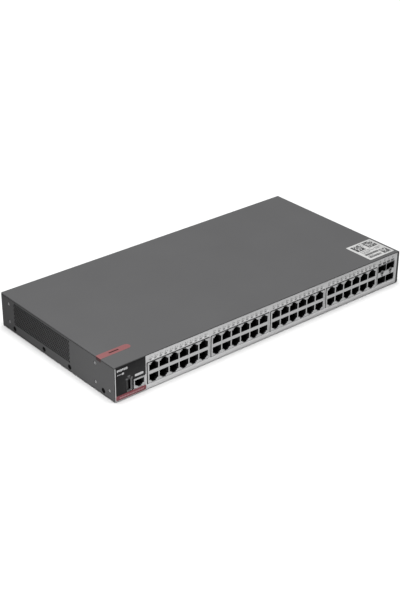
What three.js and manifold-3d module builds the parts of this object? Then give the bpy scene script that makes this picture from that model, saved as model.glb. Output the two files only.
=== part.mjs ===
// Rackmount network switch, one rack unit high: four blocks of stacked jacks, four module cages,
// console and USB ports on a black end panel, perforated sides, two side fans and a built-in
// mains supply. Millimetres. X runs along the front from left to right, Y from the front to the
// back, Z up. The origin is on the underside, at the middle of the body.

import * as THREE from 'three';
import { mergeGeometries, mergeVertices } from 'three/addons/utils/BufferGeometryUtils.js';
import Module from 'manifold-3d';

const wasm = await Module();
wasm.setup();

// Overall size
const WIDTH = 440;
const DEPTH = 220;
const HEIGHT = 43.6;

// Sheet metal and the clearances between pieces
const SHEET = 1;
const SEAT = 0.1;
const SHELL_GAP = 0.3;
const LABEL_THICK = 0.1;
const BEND_RADIUS = 1.6;
const BEND_STEPS = 3;
const CORNER_STEPS = 2;

// Planes that the pieces are set out from
const FRONT = -DEPTH / 2;
const BACK = DEPTH / 2;
const COVER_TOP = HEIGHT - LABEL_THICK;
const COVER_SIDE = WIDTH / 2 - LABEL_THICK;
const COVER_FOOT = 0.6;
const PLATE_FRONT = FRONT + 0.3;
const PLATE_THICK = 1.2;
const TRAY_FRONT = PLATE_FRONT + PLATE_THICK + SEAT;
const TRAY_BACK = BACK - 1.6;
const TRAY_SIDE = COVER_SIDE - SHEET - SHELL_GAP;
const WALL_TOP = COVER_TOP - SHEET - SHELL_GAP;
const FLANGE_TOP = 11;
const WALL_REACH = 2;
const SCREW_HOLE = 1.7;
const NOTCH_HALF = 4;
const POST = { foot: 3, top: 2.4 };

// Front plate
const PLATE_RIGHT = 216.9;
const PLATE_FOOT = 0.6;
const PLATE_TOP = 42.4;
const WINDOW_RADIUS = 1.2;
const WINDOW_GAP = 0.3;
const TRAY_WINDOW_GAP = 0.5;
const EDGE_STRIP = 1.6;
const OVERLAY_RIGHT = -178.6;
const OVERLAY_BACK = PLATE_FRONT - 0.05;
const ACCENT_FOOT = 1.2;
const ACCENT_TOP = 7.1;

// How much wider the gap round a port is on its left and above it
const WIDER_GAP = { block: [1.2, 0.7], cage: [0.7, 0.3], console: [0.9, 0.9], usb: [0, 0] };

// Labels: the corner label goes over the bent edge, and ends in a flap on the left side
const CORNER_LABEL = { front: -86, back: -77, right: -178, flapFoot: 41.3 };
const STICKER = { left: 173.4, front: -105, right: 215.8, back: -62.6, radius: 1.2 };
const LABEL_SEAT = 0.01;

// Circuit board
const BOARD_FOOT = 4.2;
const BOARD_TOP = 5.8;
const BOARD_OUTLINE = [
  [-207, -96], [214, -96], [214, -28], [180, -28], [180, 60], [-60, 60], [-60, -4], [-207, -4],
];
const BOARD_POSTS = [[-200, -20], [-60, -84], [40, -20], [170, -22], [-40, 50], [160, 50]];
const CHIP_RISE = 2.2;
const SWITCH_CHIP = { x: 20, y: 0, half: 15 };
const DRIVER_CHIPS = { x: [-100, 120], y: -45, half: 10 };
const SINK_BASE = 2.5;
const SOLDER_DEPTH = 0.5;

// Jack blocks: two rows of six jacks, with the latch slots on the outer sides
const BLOCK_COUNT = 4;
const BLOCK_PITCH = 89.88;
const FIRST_BLOCK_X = -131.75;
const BLOCK_WIDTH = 86.8;
const BLOCK_MID_Z = 19.4;
const BLOCK_HALF_HEIGHT = 13.2;
const BLOCK_FRONT = PLATE_FRONT + 0.4;
const BLOCK_BACK = -76;
const JACK_COLUMNS = 6;
const JACK_PITCH = 14.05;
const JACK_WIDTH = 12.2;
const JACK_HEIGHT = 7.7;
const JACK_BAR = 2.05;
const JACK_STEPS = [[7.6, 1.3], [4.6, 1.3]];
const JACK_POCKET = 16;
const SHIELD = 0.4;

// Console jack and USB port
const CONSOLE = { left: -194.2, right: -178.9, foot: 7.2, top: 19.2, back: -94 };
const CONSOLE_JACK = { x: -186.5, top: 17.2 };
const CONSOLE_FRAME = 0.8;
const USB = { left: -203.9, right: -197.3, foot: 8.2, top: 22.6 };
const USB_WALL = 0.5;
const USB_DEPTH = 14;
const USB_TONGUE = { left: 1.1, right: 2.9, margin: 1.5, setback: 0.8 };

// Module cages, two over two
const CAGE = { left: 183.6, right: 213, foot: 6.9, top: 33, back: -66 };
const CAGE_PORT = { width: 13.5, height: 8.8 };
const CAGE_PORT_X = [191.3, 205.4];
const CAGE_PORT_Z = [12, 27.8];
const CAGE_LATCH_RADIUS = 1.3;
const CAGE_LATCH_Z = [18.2, 21.7];
const CAGE_MIDDLE_Z = [17, 22.8];
const CONNECTOR = { halfWidth: 6.2, depth: 10 };
const CONNECTOR_NOSE = { halfWidth: 5, halfHeight: 2.4, reach: 5 };

// Fasteners of the sides, as distances along Y and heights
const SCREW_Y = [-88.9, -25.7, 24.5, 84.7];
const SCREW_Z = 5.5;
const SCREW_HEAD = 3;
const SCREW_SHANK = 1.45;
const INSERT_AT = [[-100.1, 10.6], [-74.8, 33.6], [-74.8, 9.9], [94.9, 34.2], [94.9, 10.9]];
const INSERT_NECK = 2.2;
const INSERT_BODY = 3.3;
const INSERT_BORE = 1.5;
const INSERT_DEPTH = 4;

// Side vents
const VENT = { front: -26, back: 87, foot: 12.5, top: 40.5, pitch: 8, across: 6.4 };

// Fans
const FAN_SIZE = 40;
const FAN_THICK = 20;
const FAN_OUTER_X = 217.3;
const FAN_Y = [-1, 55];
const FAN_Z = 21.3;
const FAN_BORE = 18.6;
const FAN_TIP = 17.7;
const FAN_HUB = 11.2;
const FAN_BLADES = 7;
const FAN_SHAFT = 1.5;
const FAN_SHAFT_BORE = 1.6;
const FAN_MOTOR_THICK = 3;
const FAN_SPOKES = 4;
const FAN_SPOKE_HALF = 1.2;
const FAN_SCREW_AT = 16;
const BRACKET_REACH = 24;
const BRACKET_TOP = 41;
const BRACKET_FOOT_WIDTH = 12;

// Mains inlet and its blades, and the ground screw
const INLET_X = -160;
const INLET_Z = 21;
const INLET_FACE = BACK - 0.05;
const INLET_REAR = 90;
const INLET_FLANGE = { halfWidth: 15.4, halfHeight: 11.6, radius: 1.5 };
const INLET_SHELL = { halfWidth: 13.5, halfHeight: 9.8 };
const INLET_HOLE_MARGIN = 0.3;
const INLET_DEPTH = 15;
const BLADE_AT = [[-7, -2], [7, -2], [0, 2]];
const BLADE_HALF = [1, 2];
const BLADE_TAIL = 6;
const GROUND_X = -112;
const GROUND_Z = 20;
const GROUND_HOLE = 2.1;

// Power supply
const PSU = { left: -207, right: -82, front: 4, back: 84 };
const TRANSFORMER = { x: -124, y: 42, halfWidth: 16, halfDepth: 8, height: 27, legHalf: 5 };
const COIL = { halfWidth: 11.1, halfDepth: 15, radius: 3, height: 16.2, margin: 0.4 };
const YOKE = 4.5;
const CAPACITOR_AT = [-186, 66];

const PAINT = new THREE.Color(0.13, 0.13, 0.135);
const switchGroup = new THREE.Group();

// ---------- materials ----------

function finish(color, roughness, metalness) {
  return () => new THREE.MeshStandardMaterial({ color, roughness, metalness });
}

const greyPaint = finish(PAINT, 0.55, 0.3);
const innerSteel = finish(0x9a9c9e, 0.4, 0.9);
const silverPlate = finish(0xb9bbbd, 0.35, 0.6);
const shieldSteel = finish(0xc4c6c8, 0.3, 0.9);
const blackOverlay = finish(0x161617, 0.45, 0);
const redPrint = finish(0x9a1f30, 0.5, 0);
const whiteLabel = finish(0xe6e6e4, 0.6, 0);
const blackPlastic = finish(0x101011, 0.6, 0);
const greenBoard = finish(0x1c4a2a, 0.5, 0);
const tanBoard = finish(0x9a7a48, 0.6, 0);
const alloy = finish(0xa8abae, 0.45, 0.85);
const ferrite = finish(0x2a2a2d, 0.7, 0);
const yellowTape = finish(0xc9a73a, 0.5, 0);
const brassPlate = finish(0xc8b070, 0.35, 0.9);
const blackScrew = finish(0x0c0c0d, 0.45, 0.6);
const zincSteel = finish(0xd0d2d4, 0.25, 1);

// ---------- shape tools ----------

// A closed geometry as a solid that can be joined and cut. A solid is passed through.
function toSolid(geometry) {
  if (!geometry.isBufferGeometry) {
    return geometry;
  }
  const bare = geometry.clone();
  bare.deleteAttribute('normal');
  bare.deleteAttribute('uv');
  const merged = mergeVertices(bare, 1e-4);
  return new wasm.Manifold(new wasm.Mesh({
    numProp: 3,
    vertProperties: merged.attributes.position.array,
    triVerts: new Uint32Array(merged.index.array),
  }));
}

function toGeometry(solid) {
  const mesh = solid.getMesh();
  const geometry = new THREE.BufferGeometry();
  geometry.setAttribute('position', new THREE.BufferAttribute(mesh.vertProperties, 3));
  geometry.setIndex(new THREE.BufferAttribute(mesh.triVerts, 1));
  return geometry;
}

// Geometries that don't touch each other, as one cutting tool.
function toTool(geometries) {
  return toSolid(mergeGeometries(geometries.map((geometry) => {
    const bare = geometry.index ? geometry.toNonIndexed() : geometry;
    bare.deleteAttribute('uv');
    return bare;
  })));
}

function join(first, ...rest) {
  return rest.reduce((whole, geometry) => whole.add(toSolid(geometry)), toSolid(first));
}

function block(low, high) {
  const size = high.map((value, axis) => value - low[axis]);
  const middle = high.map((value, axis) => (value + low[axis]) / 2);
  return new THREE.BoxGeometry(...size).translate(...middle);
}

function extruded(shape, depth) {
  return new THREE.ExtrudeGeometry(shape, { depth, bevelEnabled: false });
}

// Outline in X and Z, extruded along Y.
function alongY(shape, from, to) {
  return extruded(shape, to - from).rotateX(Math.PI / 2).translate(0, to, 0);
}

// Outline in Y and Z, extruded along X.
function alongX(shape, from, to) {
  const turn = new THREE.Matrix4().makeBasis(
    new THREE.Vector3(0, 1, 0),
    new THREE.Vector3(0, 0, 1),
    new THREE.Vector3(1, 0, 0),
  );
  return extruded(shape, to - from).applyMatrix4(turn).translate(from, 0, 0);
}

// A flat plate with holes cut through it, laid by alongX or alongY.
function pierced(lay, outline, holes, from, to) {
  const tool = toTool(holes.map((hole) => lay(hole, from - 1, to + 1)));
  return toSolid(lay(outline, from, to)).subtract(tool);
}

// Profile of radii along an axis through (x, y, z), turned and laid along the given direction.
function turned(profile, segments, direction, x, y, z) {
  const points = profile.map(([radius, along]) => new THREE.Vector2(radius, along));
  const geometry = new THREE.LatheGeometry(points, segments);
  const turn = new THREE.Quaternion().setFromUnitVectors(
    new THREE.Vector3(0, 1, 0),
    new THREE.Vector3(...direction),
  );
  return geometry.applyQuaternion(turn).translate(x, y, z);
}

// Rectangle whose corners, where a radius is given, are rounded in a few flat steps.
function rectangle(x0, y0, x1, y1, radius = 0) {
  if (radius === 0) {
    return polygon([[x0, y0], [x1, y0], [x1, y1], [x0, y1]]);
  }
  const centres = [
    [x1 - radius, y1 - radius], [x0 + radius, y1 - radius],
    [x0 + radius, y0 + radius], [x1 - radius, y0 + radius],
  ];
  return polygon(centres.flatMap(([x, y], quarter) => numbered(CORNER_STEPS + 1).map((i) => {
    const angle = (quarter + i / CORNER_STEPS) * (Math.PI / 2);
    return [x + radius * Math.cos(angle), y + radius * Math.sin(angle)];
  })));
}

function polygon(points) {
  return new THREE.Shape(points.map(([x, y]) => new THREE.Vector2(x, y)));
}

// Rectangle about a centre, from half sizes and an optional corner radius.
function centred(x, y, { halfWidth, halfHeight, radius = 0 }, margin = 0) {
  const width = halfWidth + margin;
  const height = halfHeight + margin;
  return rectangle(x - width, y - height, x + width, y + height, radius);
}

function regularPolygon(x, y, radius, sides) {
  const corner = (_, i) => {
    const angle = ((i + 0.5) * 2 * Math.PI) / sides;
    return [x + radius * Math.cos(angle), y + radius * Math.sin(angle)];
  };
  return polygon(Array.from({ length: sides }, corner));
}

function numbered(count) {
  return Array.from({ length: count }, (_, i) => i);
}

function piece(name, geometry, material) {
  const mesh = new THREE.Mesh(geometry, material());
  mesh.name = name;
  switchGroup.add(mesh);
  return mesh;
}

// ---------- places shared by several pieces ----------

const blockX = numbered(BLOCK_COUNT).map((i) => FIRST_BLOCK_X + i * BLOCK_PITCH);
const jackOffsets = numbered(JACK_COLUMNS).map((i) => (i - (JACK_COLUMNS - 1) / 2) * JACK_PITCH);

// One jack opening: a rectangle with a stepped latch slot on the side that sign points to.
// baseZ is the side of the rectangle away from the slot.
function jackOutline(x, baseZ, sign) {
  const right = [[JACK_WIDTH / 2, baseZ]];
  let z = baseZ + sign * JACK_HEIGHT;
  right.push([JACK_WIDTH / 2, z]);
  for (const [width, rise] of JACK_STEPS) {
    right.push([width / 2, z]);
    z += sign * rise;
    right.push([width / 2, z]);
  }
  const left = right.map(([dx, dz]) => [-dx, dz]).reverse();
  return polygon([...right, ...left].map(([dx, dz]) => [x + dx, dz]));
}

function blockJacks(centreX) {
  return jackOffsets.flatMap((dx) => [1, -1].map((sign) => (
    jackOutline(centreX + dx, BLOCK_MID_Z + sign * JACK_BAR, sign)
  )));
}

// The windows of the front, each larger than its port by the margin, and by the wider gap.
function frontWindows(margin) {
  const grow = ({ left, right, foot, top }, [wider, higher], radius) => rectangle(
    left - margin - wider, foot - margin, right + margin, top + margin + higher, radius,
  );
  const blocks = blockX.map((x) => grow({
    left: x - BLOCK_WIDTH / 2,
    right: x + BLOCK_WIDTH / 2,
    foot: BLOCK_MID_Z - BLOCK_HALF_HEIGHT,
    top: BLOCK_MID_Z + BLOCK_HALF_HEIGHT,
  }, WIDER_GAP.block, WINDOW_RADIUS));
  return [
    ...blocks,
    grow(CAGE, WIDER_GAP.cage, 0),
    grow(CONSOLE, WIDER_GAP.console, 0),
    grow(USB, WIDER_GAP.usb, 0),
  ];
}

// ---------- body ----------

// Half of the section of the cover's bent edge, from the side wall to the top, at one depth in.
function bend(side, inset) {
  const radius = BEND_RADIUS - inset;
  return numbered(BEND_STEPS + 1).map((i) => {
    const angle = (i / BEND_STEPS) * (Math.PI / 2);
    return [
      side * (COVER_SIDE - BEND_RADIUS + radius * Math.cos(angle)),
      COVER_TOP - BEND_RADIUS + radius * Math.sin(angle),
    ];
  });
}

// Sets out the staggered rows of a perforated side wall.
function ventCentres() {
  const rowStep = (VENT.pitch * Math.sqrt(3)) / 2;
  const reach = VENT.across / Math.sqrt(3);
  const centres = [];
  for (let row = 0, z = VENT.foot + reach; z <= VENT.top - reach; row += 1, z += rowStep) {
    const start = VENT.front + VENT.across / 2 + (row % 2) * (VENT.pitch / 2);
    for (let y = start; y <= VENT.back - VENT.across / 2; y += VENT.pitch) {
      centres.push([y, z]);
    }
  }
  return centres;
}

// The stretch of X that a tool needs to go through a side wall whose outer face is at x.
function throughWall(side, x) {
  return side < 0 ? [-x - 1, WALL_REACH - x] : [x - WALL_REACH, x + 1];
}

function topCover() {
  const outer = [[COVER_SIDE, COVER_FOOT], ...bend(1, 0), ...bend(-1, 0).reverse()];
  outer.push([-COVER_SIDE, COVER_FOOT]);
  const inner = [[COVER_SIDE - SHEET, COVER_FOOT], ...bend(1, SHEET), ...bend(-1, SHEET).reverse()];
  inner.push([-COVER_SIDE + SHEET, COVER_FOOT]);
  const section = polygon([...outer, ...inner.reverse()]);
  const returnLip = block(
    [PLATE_RIGHT + SHELL_GAP, FRONT, COVER_FOOT],
    [COVER_SIDE - SHEET / 2, FRONT + SHEET, COVER_TOP - SHEET / 2],
  );
  const shell = join(alongY(section, FRONT, BACK), returnLip);
  const reach = VENT.across / Math.sqrt(3);
  const tools = [];
  for (const side of [-1, 1]) {
    const wall = throughWall(side, COVER_SIDE);
    for (const [y, z] of ventCentres()) {
      tools.push(alongX(regularPolygon(y, z, reach, 6), ...wall));
    }
    for (const [y, z] of INSERT_AT) {
      tools.push(alongX(regularPolygon(y, z, INSERT_NECK + SEAT, 12), ...wall));
    }
    for (const y of SCREW_Y) {
      const sunk = [[0, -SHEET - 0.5], [2.2, -SHEET - 0.5], [SCREW_HEAD + 0.3, 0.1], [0, 0.1]];
      tools.push(turned(sunk, 12, [side, 0, 0], side * COVER_SIDE, y, SCREW_Z));
    }
  }
  // The front plate fills the front of the left side wall.
  const leftFront = block(
    [-COVER_SIDE - 1, FRONT - 1, 0],
    [-TRAY_SIDE, TRAY_FRONT, PLATE_TOP + SEAT],
  );
  const cover = shell.subtract(toTool(tools)).subtract(toSolid(leftFront));
  piece('top_cover', toGeometry(cover), greyPaint);
}

function baseTray() {
  const floor = block([-TRAY_SIDE, TRAY_FRONT, 0], [TRAY_SIDE, TRAY_BACK, SHEET]);
  const wall = rectangle(-TRAY_SIDE, 0, TRAY_SIDE, WALL_TOP);
  const windows = frontWindows(TRAY_WINDOW_GAP);
  const frontWall = pierced(alongY, wall, windows, TRAY_FRONT, TRAY_FRONT + SHEET);
  const rearHoles = [
    centred(INLET_X, INLET_Z, INLET_SHELL, INLET_HOLE_MARGIN),
    regularPolygon(GROUND_X, GROUND_Z, GROUND_HOLE, 8),
  ];
  const rearWall = pierced(alongY, wall, rearHoles, TRAY_BACK - SHEET, TRAY_BACK);
  const flanges = [-1, 1].map((side) => {
    const inner = side * (TRAY_SIDE - SHEET);
    const outer = side * TRAY_SIDE;
    return block(
      [Math.min(inner, outer), TRAY_FRONT, 0],
      [Math.max(inner, outer), TRAY_BACK, FLANGE_TOP],
    );
  });
  const postTop = BOARD_FOOT - SEAT;
  const postProfile = [[0, SHEET / 2], [POST.foot, SHEET / 2], [POST.top, postTop], [0, postTop]];
  const posts = standoffs().map(([x, y]) => (
    turned(postProfile, 8, [0, 0, 1], x, y, 0)
  ));
  const sheet = join(floor, frontWall, rearWall, ...flanges, ...posts);
  const tools = [];
  for (const side of [-1, 1]) {
    const span = throughWall(side, TRAY_SIDE);
    for (const y of SCREW_Y) {
      tools.push(alongX(regularPolygon(y, SCREW_Z, SCREW_HOLE, 8), ...span));
    }
    for (const [y, z] of INSERT_AT.filter(([, height]) => height < FLANGE_TOP + INSERT_BODY)) {
      const notch = rectangle(y - NOTCH_HALF, z - NOTCH_HALF, y + NOTCH_HALF, FLANGE_TOP + 1);
      tools.push(alongX(notch, ...span));
    }
  }
  piece('base_tray', toGeometry(sheet.subtract(toTool(tools))), greyPaint);
}

// Pressed posts that the circuit boards stand on.
function standoffs() {
  return [...BOARD_POSTS, [PSU.left + 5, PSU.front + 6], [PSU.right - 5, PSU.back - 5]];
}

// ---------- front ----------

function frontPlate() {
  const outline = rectangle(-COVER_SIDE, PLATE_FOOT, PLATE_RIGHT, PLATE_TOP);
  const windows = frontWindows(WINDOW_GAP);
  const plate = pierced(alongY, outline, windows, PLATE_FRONT, PLATE_FRONT + PLATE_THICK);
  piece('front_plate', toGeometry(plate), silverPlate);
}

function frontOverlay() {
  const left = -COVER_SIDE + EDGE_STRIP;
  const margin = WINDOW_GAP;
  const notchLeft = CONSOLE.left - margin - WIDER_GAP.console[0];
  const notchTop = CONSOLE.top + margin + WIDER_GAP.console[1];
  // The console jack stands in a notch of the right edge, and the USB port in a slot.
  const overlay = polygon([
    [left, ACCENT_TOP + SEAT],
    [notchLeft, ACCENT_TOP + SEAT],
    [notchLeft, notchTop],
    [OVERLAY_RIGHT, notchTop],
    [OVERLAY_RIGHT, PLATE_TOP],
    [left, PLATE_TOP],
  ]);
  const slot = rectangle(
    USB.left - margin, USB.foot - margin, USB.right + margin, USB.top + margin,
  );
  const film = pierced(alongY, overlay, [slot], FRONT, OVERLAY_BACK);
  piece('front_overlay', toGeometry(film), blackOverlay);
  const accent = rectangle(left, ACCENT_FOOT, OVERLAY_RIGHT, ACCENT_TOP);
  piece('accent_strip', alongY(accent, FRONT, OVERLAY_BACK), redPrint);
}

function labels() {
  const { front, back, right, flapFoot } = CORNER_LABEL;
  const outer = bend(-1, -LABEL_THICK);
  const inner = bend(-1, -LABEL_SEAT);
  const section = polygon([
    [inner[0][0], flapFoot],
    [outer[0][0], flapFoot],
    ...outer,
    [right, outer.at(-1)[1]],
    [right, inner.at(-1)[1]],
    ...inner.reverse(),
  ]);
  piece('corner_label', alongY(section, front, back), redPrint);
  const outline = rectangle(
    STICKER.left, STICKER.front, STICKER.right, STICKER.back, STICKER.radius,
  );
  const sheet = extruded(outline, LABEL_THICK - LABEL_SEAT);
  piece('info_sticker', sheet.translate(0, 0, COVER_TOP + LABEL_SEAT), whiteLabel);
}

// ---------- ports ----------

function jackBlocks() {
  blockX.forEach((x, i) => {
    const half = BLOCK_WIDTH / 2;
    const foot = BLOCK_MID_Z - BLOCK_HALF_HEIGHT;
    const top = BLOCK_MID_Z + BLOCK_HALF_HEIGHT;
    const outline = rectangle(x - half, foot, x + half, top, WINDOW_RADIUS - WINDOW_GAP);
    const inside = rectangle(
      x - half + SHIELD, foot + SHIELD, x + half - SHIELD, top - SHIELD,
    );
    const openings = blockJacks(x);
    const shield = join(
      pierced(alongY, outline, openings, BLOCK_FRONT, BLOCK_FRONT + SHIELD),
      pierced(alongY, outline, [inside], BLOCK_FRONT + SHIELD / 2, BLOCK_BACK),
    );
    piece(`jack_shield_${i + 1}`, toGeometry(shield), shieldSteel);

    const inset = SHIELD + SEAT;
    const housingFront = BLOCK_FRONT + inset;
    const housing = toSolid(block(
      [x - half + inset, housingFront, foot + inset],
      [x + half - inset, BLOCK_BACK - 0.5, top - inset],
    ));
    const pockets = openings.map((opening) => (
      alongY(opening, housingFront - 1, housingFront + JACK_POCKET)
    ));
    piece(`jack_housing_${i + 1}`, toGeometry(housing.subtract(toTool(pockets))), blackPlastic);
  });
}

function consoleJack() {
  const { left, right, foot, top, back } = CONSOLE;
  const outline = rectangle(left, foot, right, top);
  const inside = rectangle(
    left + CONSOLE_FRAME, foot + CONSOLE_FRAME, right - CONSOLE_FRAME, top - CONSOLE_FRAME,
  );
  const ring = pierced(alongY, outline, [inside], BLOCK_FRONT, back);
  piece('console_jack_shield', toGeometry(ring), shieldSteel);
  const inset = CONSOLE_FRAME + SEAT;
  const housing = toSolid(block(
    [left + inset, BLOCK_FRONT + 0.2, foot + inset],
    [right - inset, back, top - inset],
  ));
  const pocket = jackOutline(CONSOLE_JACK.x, CONSOLE_JACK.top, -1);
  const cut = housing.subtract(toSolid(alongY(pocket, FRONT - 1, back - 2)));
  piece('console_jack_housing', toGeometry(cut), blackPlastic);
}

function usbPort() {
  const { left, right, foot, top } = USB;
  const back = BLOCK_FRONT + USB_DEPTH;
  const shell = toSolid(block([left, BLOCK_FRONT, foot], [right, back, top]));
  const mouth = toSolid(block(
    [left + USB_WALL, FRONT - 1, foot + USB_WALL],
    [right - USB_WALL, back - 1, top - USB_WALL],
  ));
  piece('usb_port_shell', toGeometry(shell.subtract(mouth)), shieldSteel);
  const tongue = block(
    [left + USB_TONGUE.left, BLOCK_FRONT + USB_TONGUE.setback, foot + USB_TONGUE.margin],
    [left + USB_TONGUE.right, back - 1 - SEAT, top - USB_TONGUE.margin],
  );
  piece('usb_port_tongue', tongue, blackPlastic);
}

function moduleCage() {
  const { left, right, foot, top, back } = CAGE;
  const face = rectangle(left, foot, right, top);
  const ports = CAGE_PORT_X.flatMap((x) => CAGE_PORT_Z.map((z) => rectangle(
    x - CAGE_PORT.width / 2, z - CAGE_PORT.height / 2,
    x + CAGE_PORT.width / 2, z + CAGE_PORT.height / 2,
  )));
  const latchHoles = CAGE_PORT_X.flatMap((x) => CAGE_LATCH_Z.map((z) => (
    alongY(regularPolygon(x, z, CAGE_LATCH_RADIUS, 10), FRONT - 1, BLOCK_FRONT + 2)
  )));
  const middle = block(
    [left + 1, BLOCK_FRONT + 1, CAGE_MIDDLE_Z[0]],
    [right - 1, back + 1, CAGE_MIDDLE_Z[1]],
  );
  const cage = pierced(alongY, face, ports, BLOCK_FRONT, back)
    .subtract(toSolid(middle))
    .subtract(toTool(latchHoles));
  piece('module_cage', toGeometry(cage), shieldSteel);
  CAGE_PORT_X.forEach((x, i) => {
    const { halfWidth, depth } = CONNECTOR;
    const body = block(
      [x - halfWidth, back + SEAT, BOARD_TOP + SEAT],
      [x + halfWidth, back + depth, top],
    );
    const nose = CONNECTOR_NOSE;
    const noses = CAGE_PORT_Z.map((z) => block(
      [x - nose.halfWidth, back - nose.reach, z - nose.halfHeight],
      [x + nose.halfWidth, back + 1, z + nose.halfHeight],
    ));
    const side = i === 0 ? 'left' : 'right';
    piece(`module_connector_${side}`, toGeometry(join(body, ...noses)), blackPlastic);
  });
}

// ---------- fasteners ----------

function sideFasteners() {
  for (const side of [-1, 1]) {
    const word = side < 0 ? 'left' : 'right';
    SCREW_Y.forEach((y, i) => {
      const profile = [
        [0, -5], [SCREW_SHANK, -5], [SCREW_SHANK, -SHEET - SHELL_GAP / 2],
        [2, -SHEET], [SCREW_HEAD, -0.1], [0, -0.1],
      ];
      const screw = turned(profile, 10, [side, 0, 0], side * COVER_SIDE, y, SCREW_Z);
      piece(`cover_screw_${word}_${i + 1}`, screw, blackScrew);
    });
    INSERT_AT.forEach(([y, z], i) => {
      const behind = -SHEET - SEAT;
      const profile = [
        [INSERT_BORE, -INSERT_DEPTH], [INSERT_BODY, -INSERT_DEPTH], [INSERT_BODY, behind],
        [INSERT_NECK, behind], [INSERT_NECK, -0.1], [INSERT_BORE, -0.1],
        [INSERT_BORE, -INSERT_DEPTH],
      ];
      const insert = turned(profile, 8, [side, 0, 0], side * COVER_SIDE, y, z);
      piece(`rack_insert_${word}_${i + 1}`, insert, zincSteel);
    });
  }
  const profile = [[0, -4], [1.9, -4], [1.9, SEAT / 2], [4, SEAT / 2], [4, 1.5], [0, 1.5]];
  const screw = turned(profile, 12, [0, 1, 0], GROUND_X, TRAY_BACK, GROUND_Z);
  piece('ground_screw', screw, brassPlate);
}

// ---------- boards ----------

function mainBoard() {
  const outline = polygon(BOARD_OUTLINE);
  const slab = extruded(outline, BOARD_TOP - BOARD_FOOT).translate(0, 0, BOARD_FOOT);
  const onBoard = (x0, y0, x1, y1, rise) => block(
    [x0, y0, BOARD_TOP - SOLDER_DEPTH], [x1, y1, BOARD_TOP + rise],
  );
  const chip = (x, y, half, rise) => onBoard(x - half, y - half, x + half, y + half, rise);
  const chips = [
    chip(SWITCH_CHIP.x, SWITCH_CHIP.y, SWITCH_CHIP.half, CHIP_RISE),
    ...DRIVER_CHIPS.x.map((x) => chip(x, DRIVER_CHIPS.y, DRIVER_CHIPS.half, CHIP_RISE)),
    chip(80, 35, 8, 1.2),
    chip(110, 35, 6, 1),
  ];
  const powerHeader = onBoard(-56, 30, -49, 50, 9);
  const fanHeader = onBoard(166, -8, 172, 6, 6);
  piece('main_board', toGeometry(join(slab, ...chips, powerHeader, fanHeader)), greenBoard);
}

// A finned block of alloy: fins run along Y on a flat base.
function finnedSink(name, [x0, x1], [y0, y1], foot, height, fins) {
  const pitch = (x1 - x0) / (fins - 0.5);
  const points = [[x0, foot], [x1, foot]];
  for (const i of numbered(fins).reverse()) {
    const left = x0 + i * pitch;
    const right = left + pitch / 2;
    points.push([right, foot + height], [left, foot + height]);
    if (i > 0) {
      points.push([left, foot + SINK_BASE], [left - pitch / 2, foot + SINK_BASE]);
    }
  }
  piece(name, alongY(polygon(points), y0, y1), alloy);
}

function heatSinks() {
  const foot = BOARD_TOP + CHIP_RISE + SEAT;
  const about = (middle, half) => [middle - half, middle + half];
  const { x, y } = SWITCH_CHIP;
  finnedSink('switch_heatsink', about(x, 28), about(y, 26), foot, 20, 12);
  ['left', 'right'].forEach((word, i) => {
    const across = about(DRIVER_CHIPS.x[i], 18);
    finnedSink(`phy_heatsink_${word}`, across, about(DRIVER_CHIPS.y, 17), foot, 14, 9);
  });
}

// ---------- power supply ----------

function powerSupply() {
  const board = block([PSU.left, PSU.front, BOARD_FOOT], [PSU.right, PSU.back, BOARD_TOP]);
  piece('psu_board', board, tanBoard);

  const foot = BOARD_TOP + SEAT;
  const { x, y, halfWidth, halfDepth, height, legHalf } = TRANSFORMER;
  const slotFoot = foot + 1 + YOKE;
  const slotTop = foot + height - YOKE;
  const slots = [
    rectangle(x - halfWidth + YOKE, slotFoot, x - legHalf, slotTop),
    rectangle(x + legHalf, slotFoot, x + halfWidth - YOKE, slotTop),
  ];
  const frame = rectangle(x - halfWidth, foot + 1, x + halfWidth, foot + height);
  const core = pierced(alongY, frame, slots, y - halfDepth, y + halfDepth);
  piece('psu_transformer_core', toGeometry(core), ferrite);

  const coilFoot = slotFoot + COIL.margin;
  const coil = extruded(rectangle(
    x - COIL.halfWidth, y - COIL.halfDepth, x + COIL.halfWidth, y + COIL.halfDepth, COIL.radius,
  ), COIL.height).translate(0, 0, coilFoot);
  const legX = legHalf + COIL.margin;
  const legY = halfDepth + COIL.margin;
  const leg = block([x - legX, y - legY, 0], [x + legX, y + legY, coilFoot + COIL.height + 1]);
  piece('psu_transformer_winding', toGeometry(toSolid(coil).subtract(toSolid(leg))), yellowTape);

  // The can has a rolled groove near its foot.
  const can = [
    [0, 0], [8.6, 0], [9, 0.6], [9, 2], [8.4, 2.6], [9, 3.2], [9, 29.5], [8.4, 30], [0, 30],
  ];
  piece('psu_capacitor', turned(can, 16, [0, 0, 1], ...CAPACITOR_AT, foot), blackPlastic);
  finnedSink('psu_heatsink', [-168, -148], [12, 56], foot, 24, 5);
}

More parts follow.
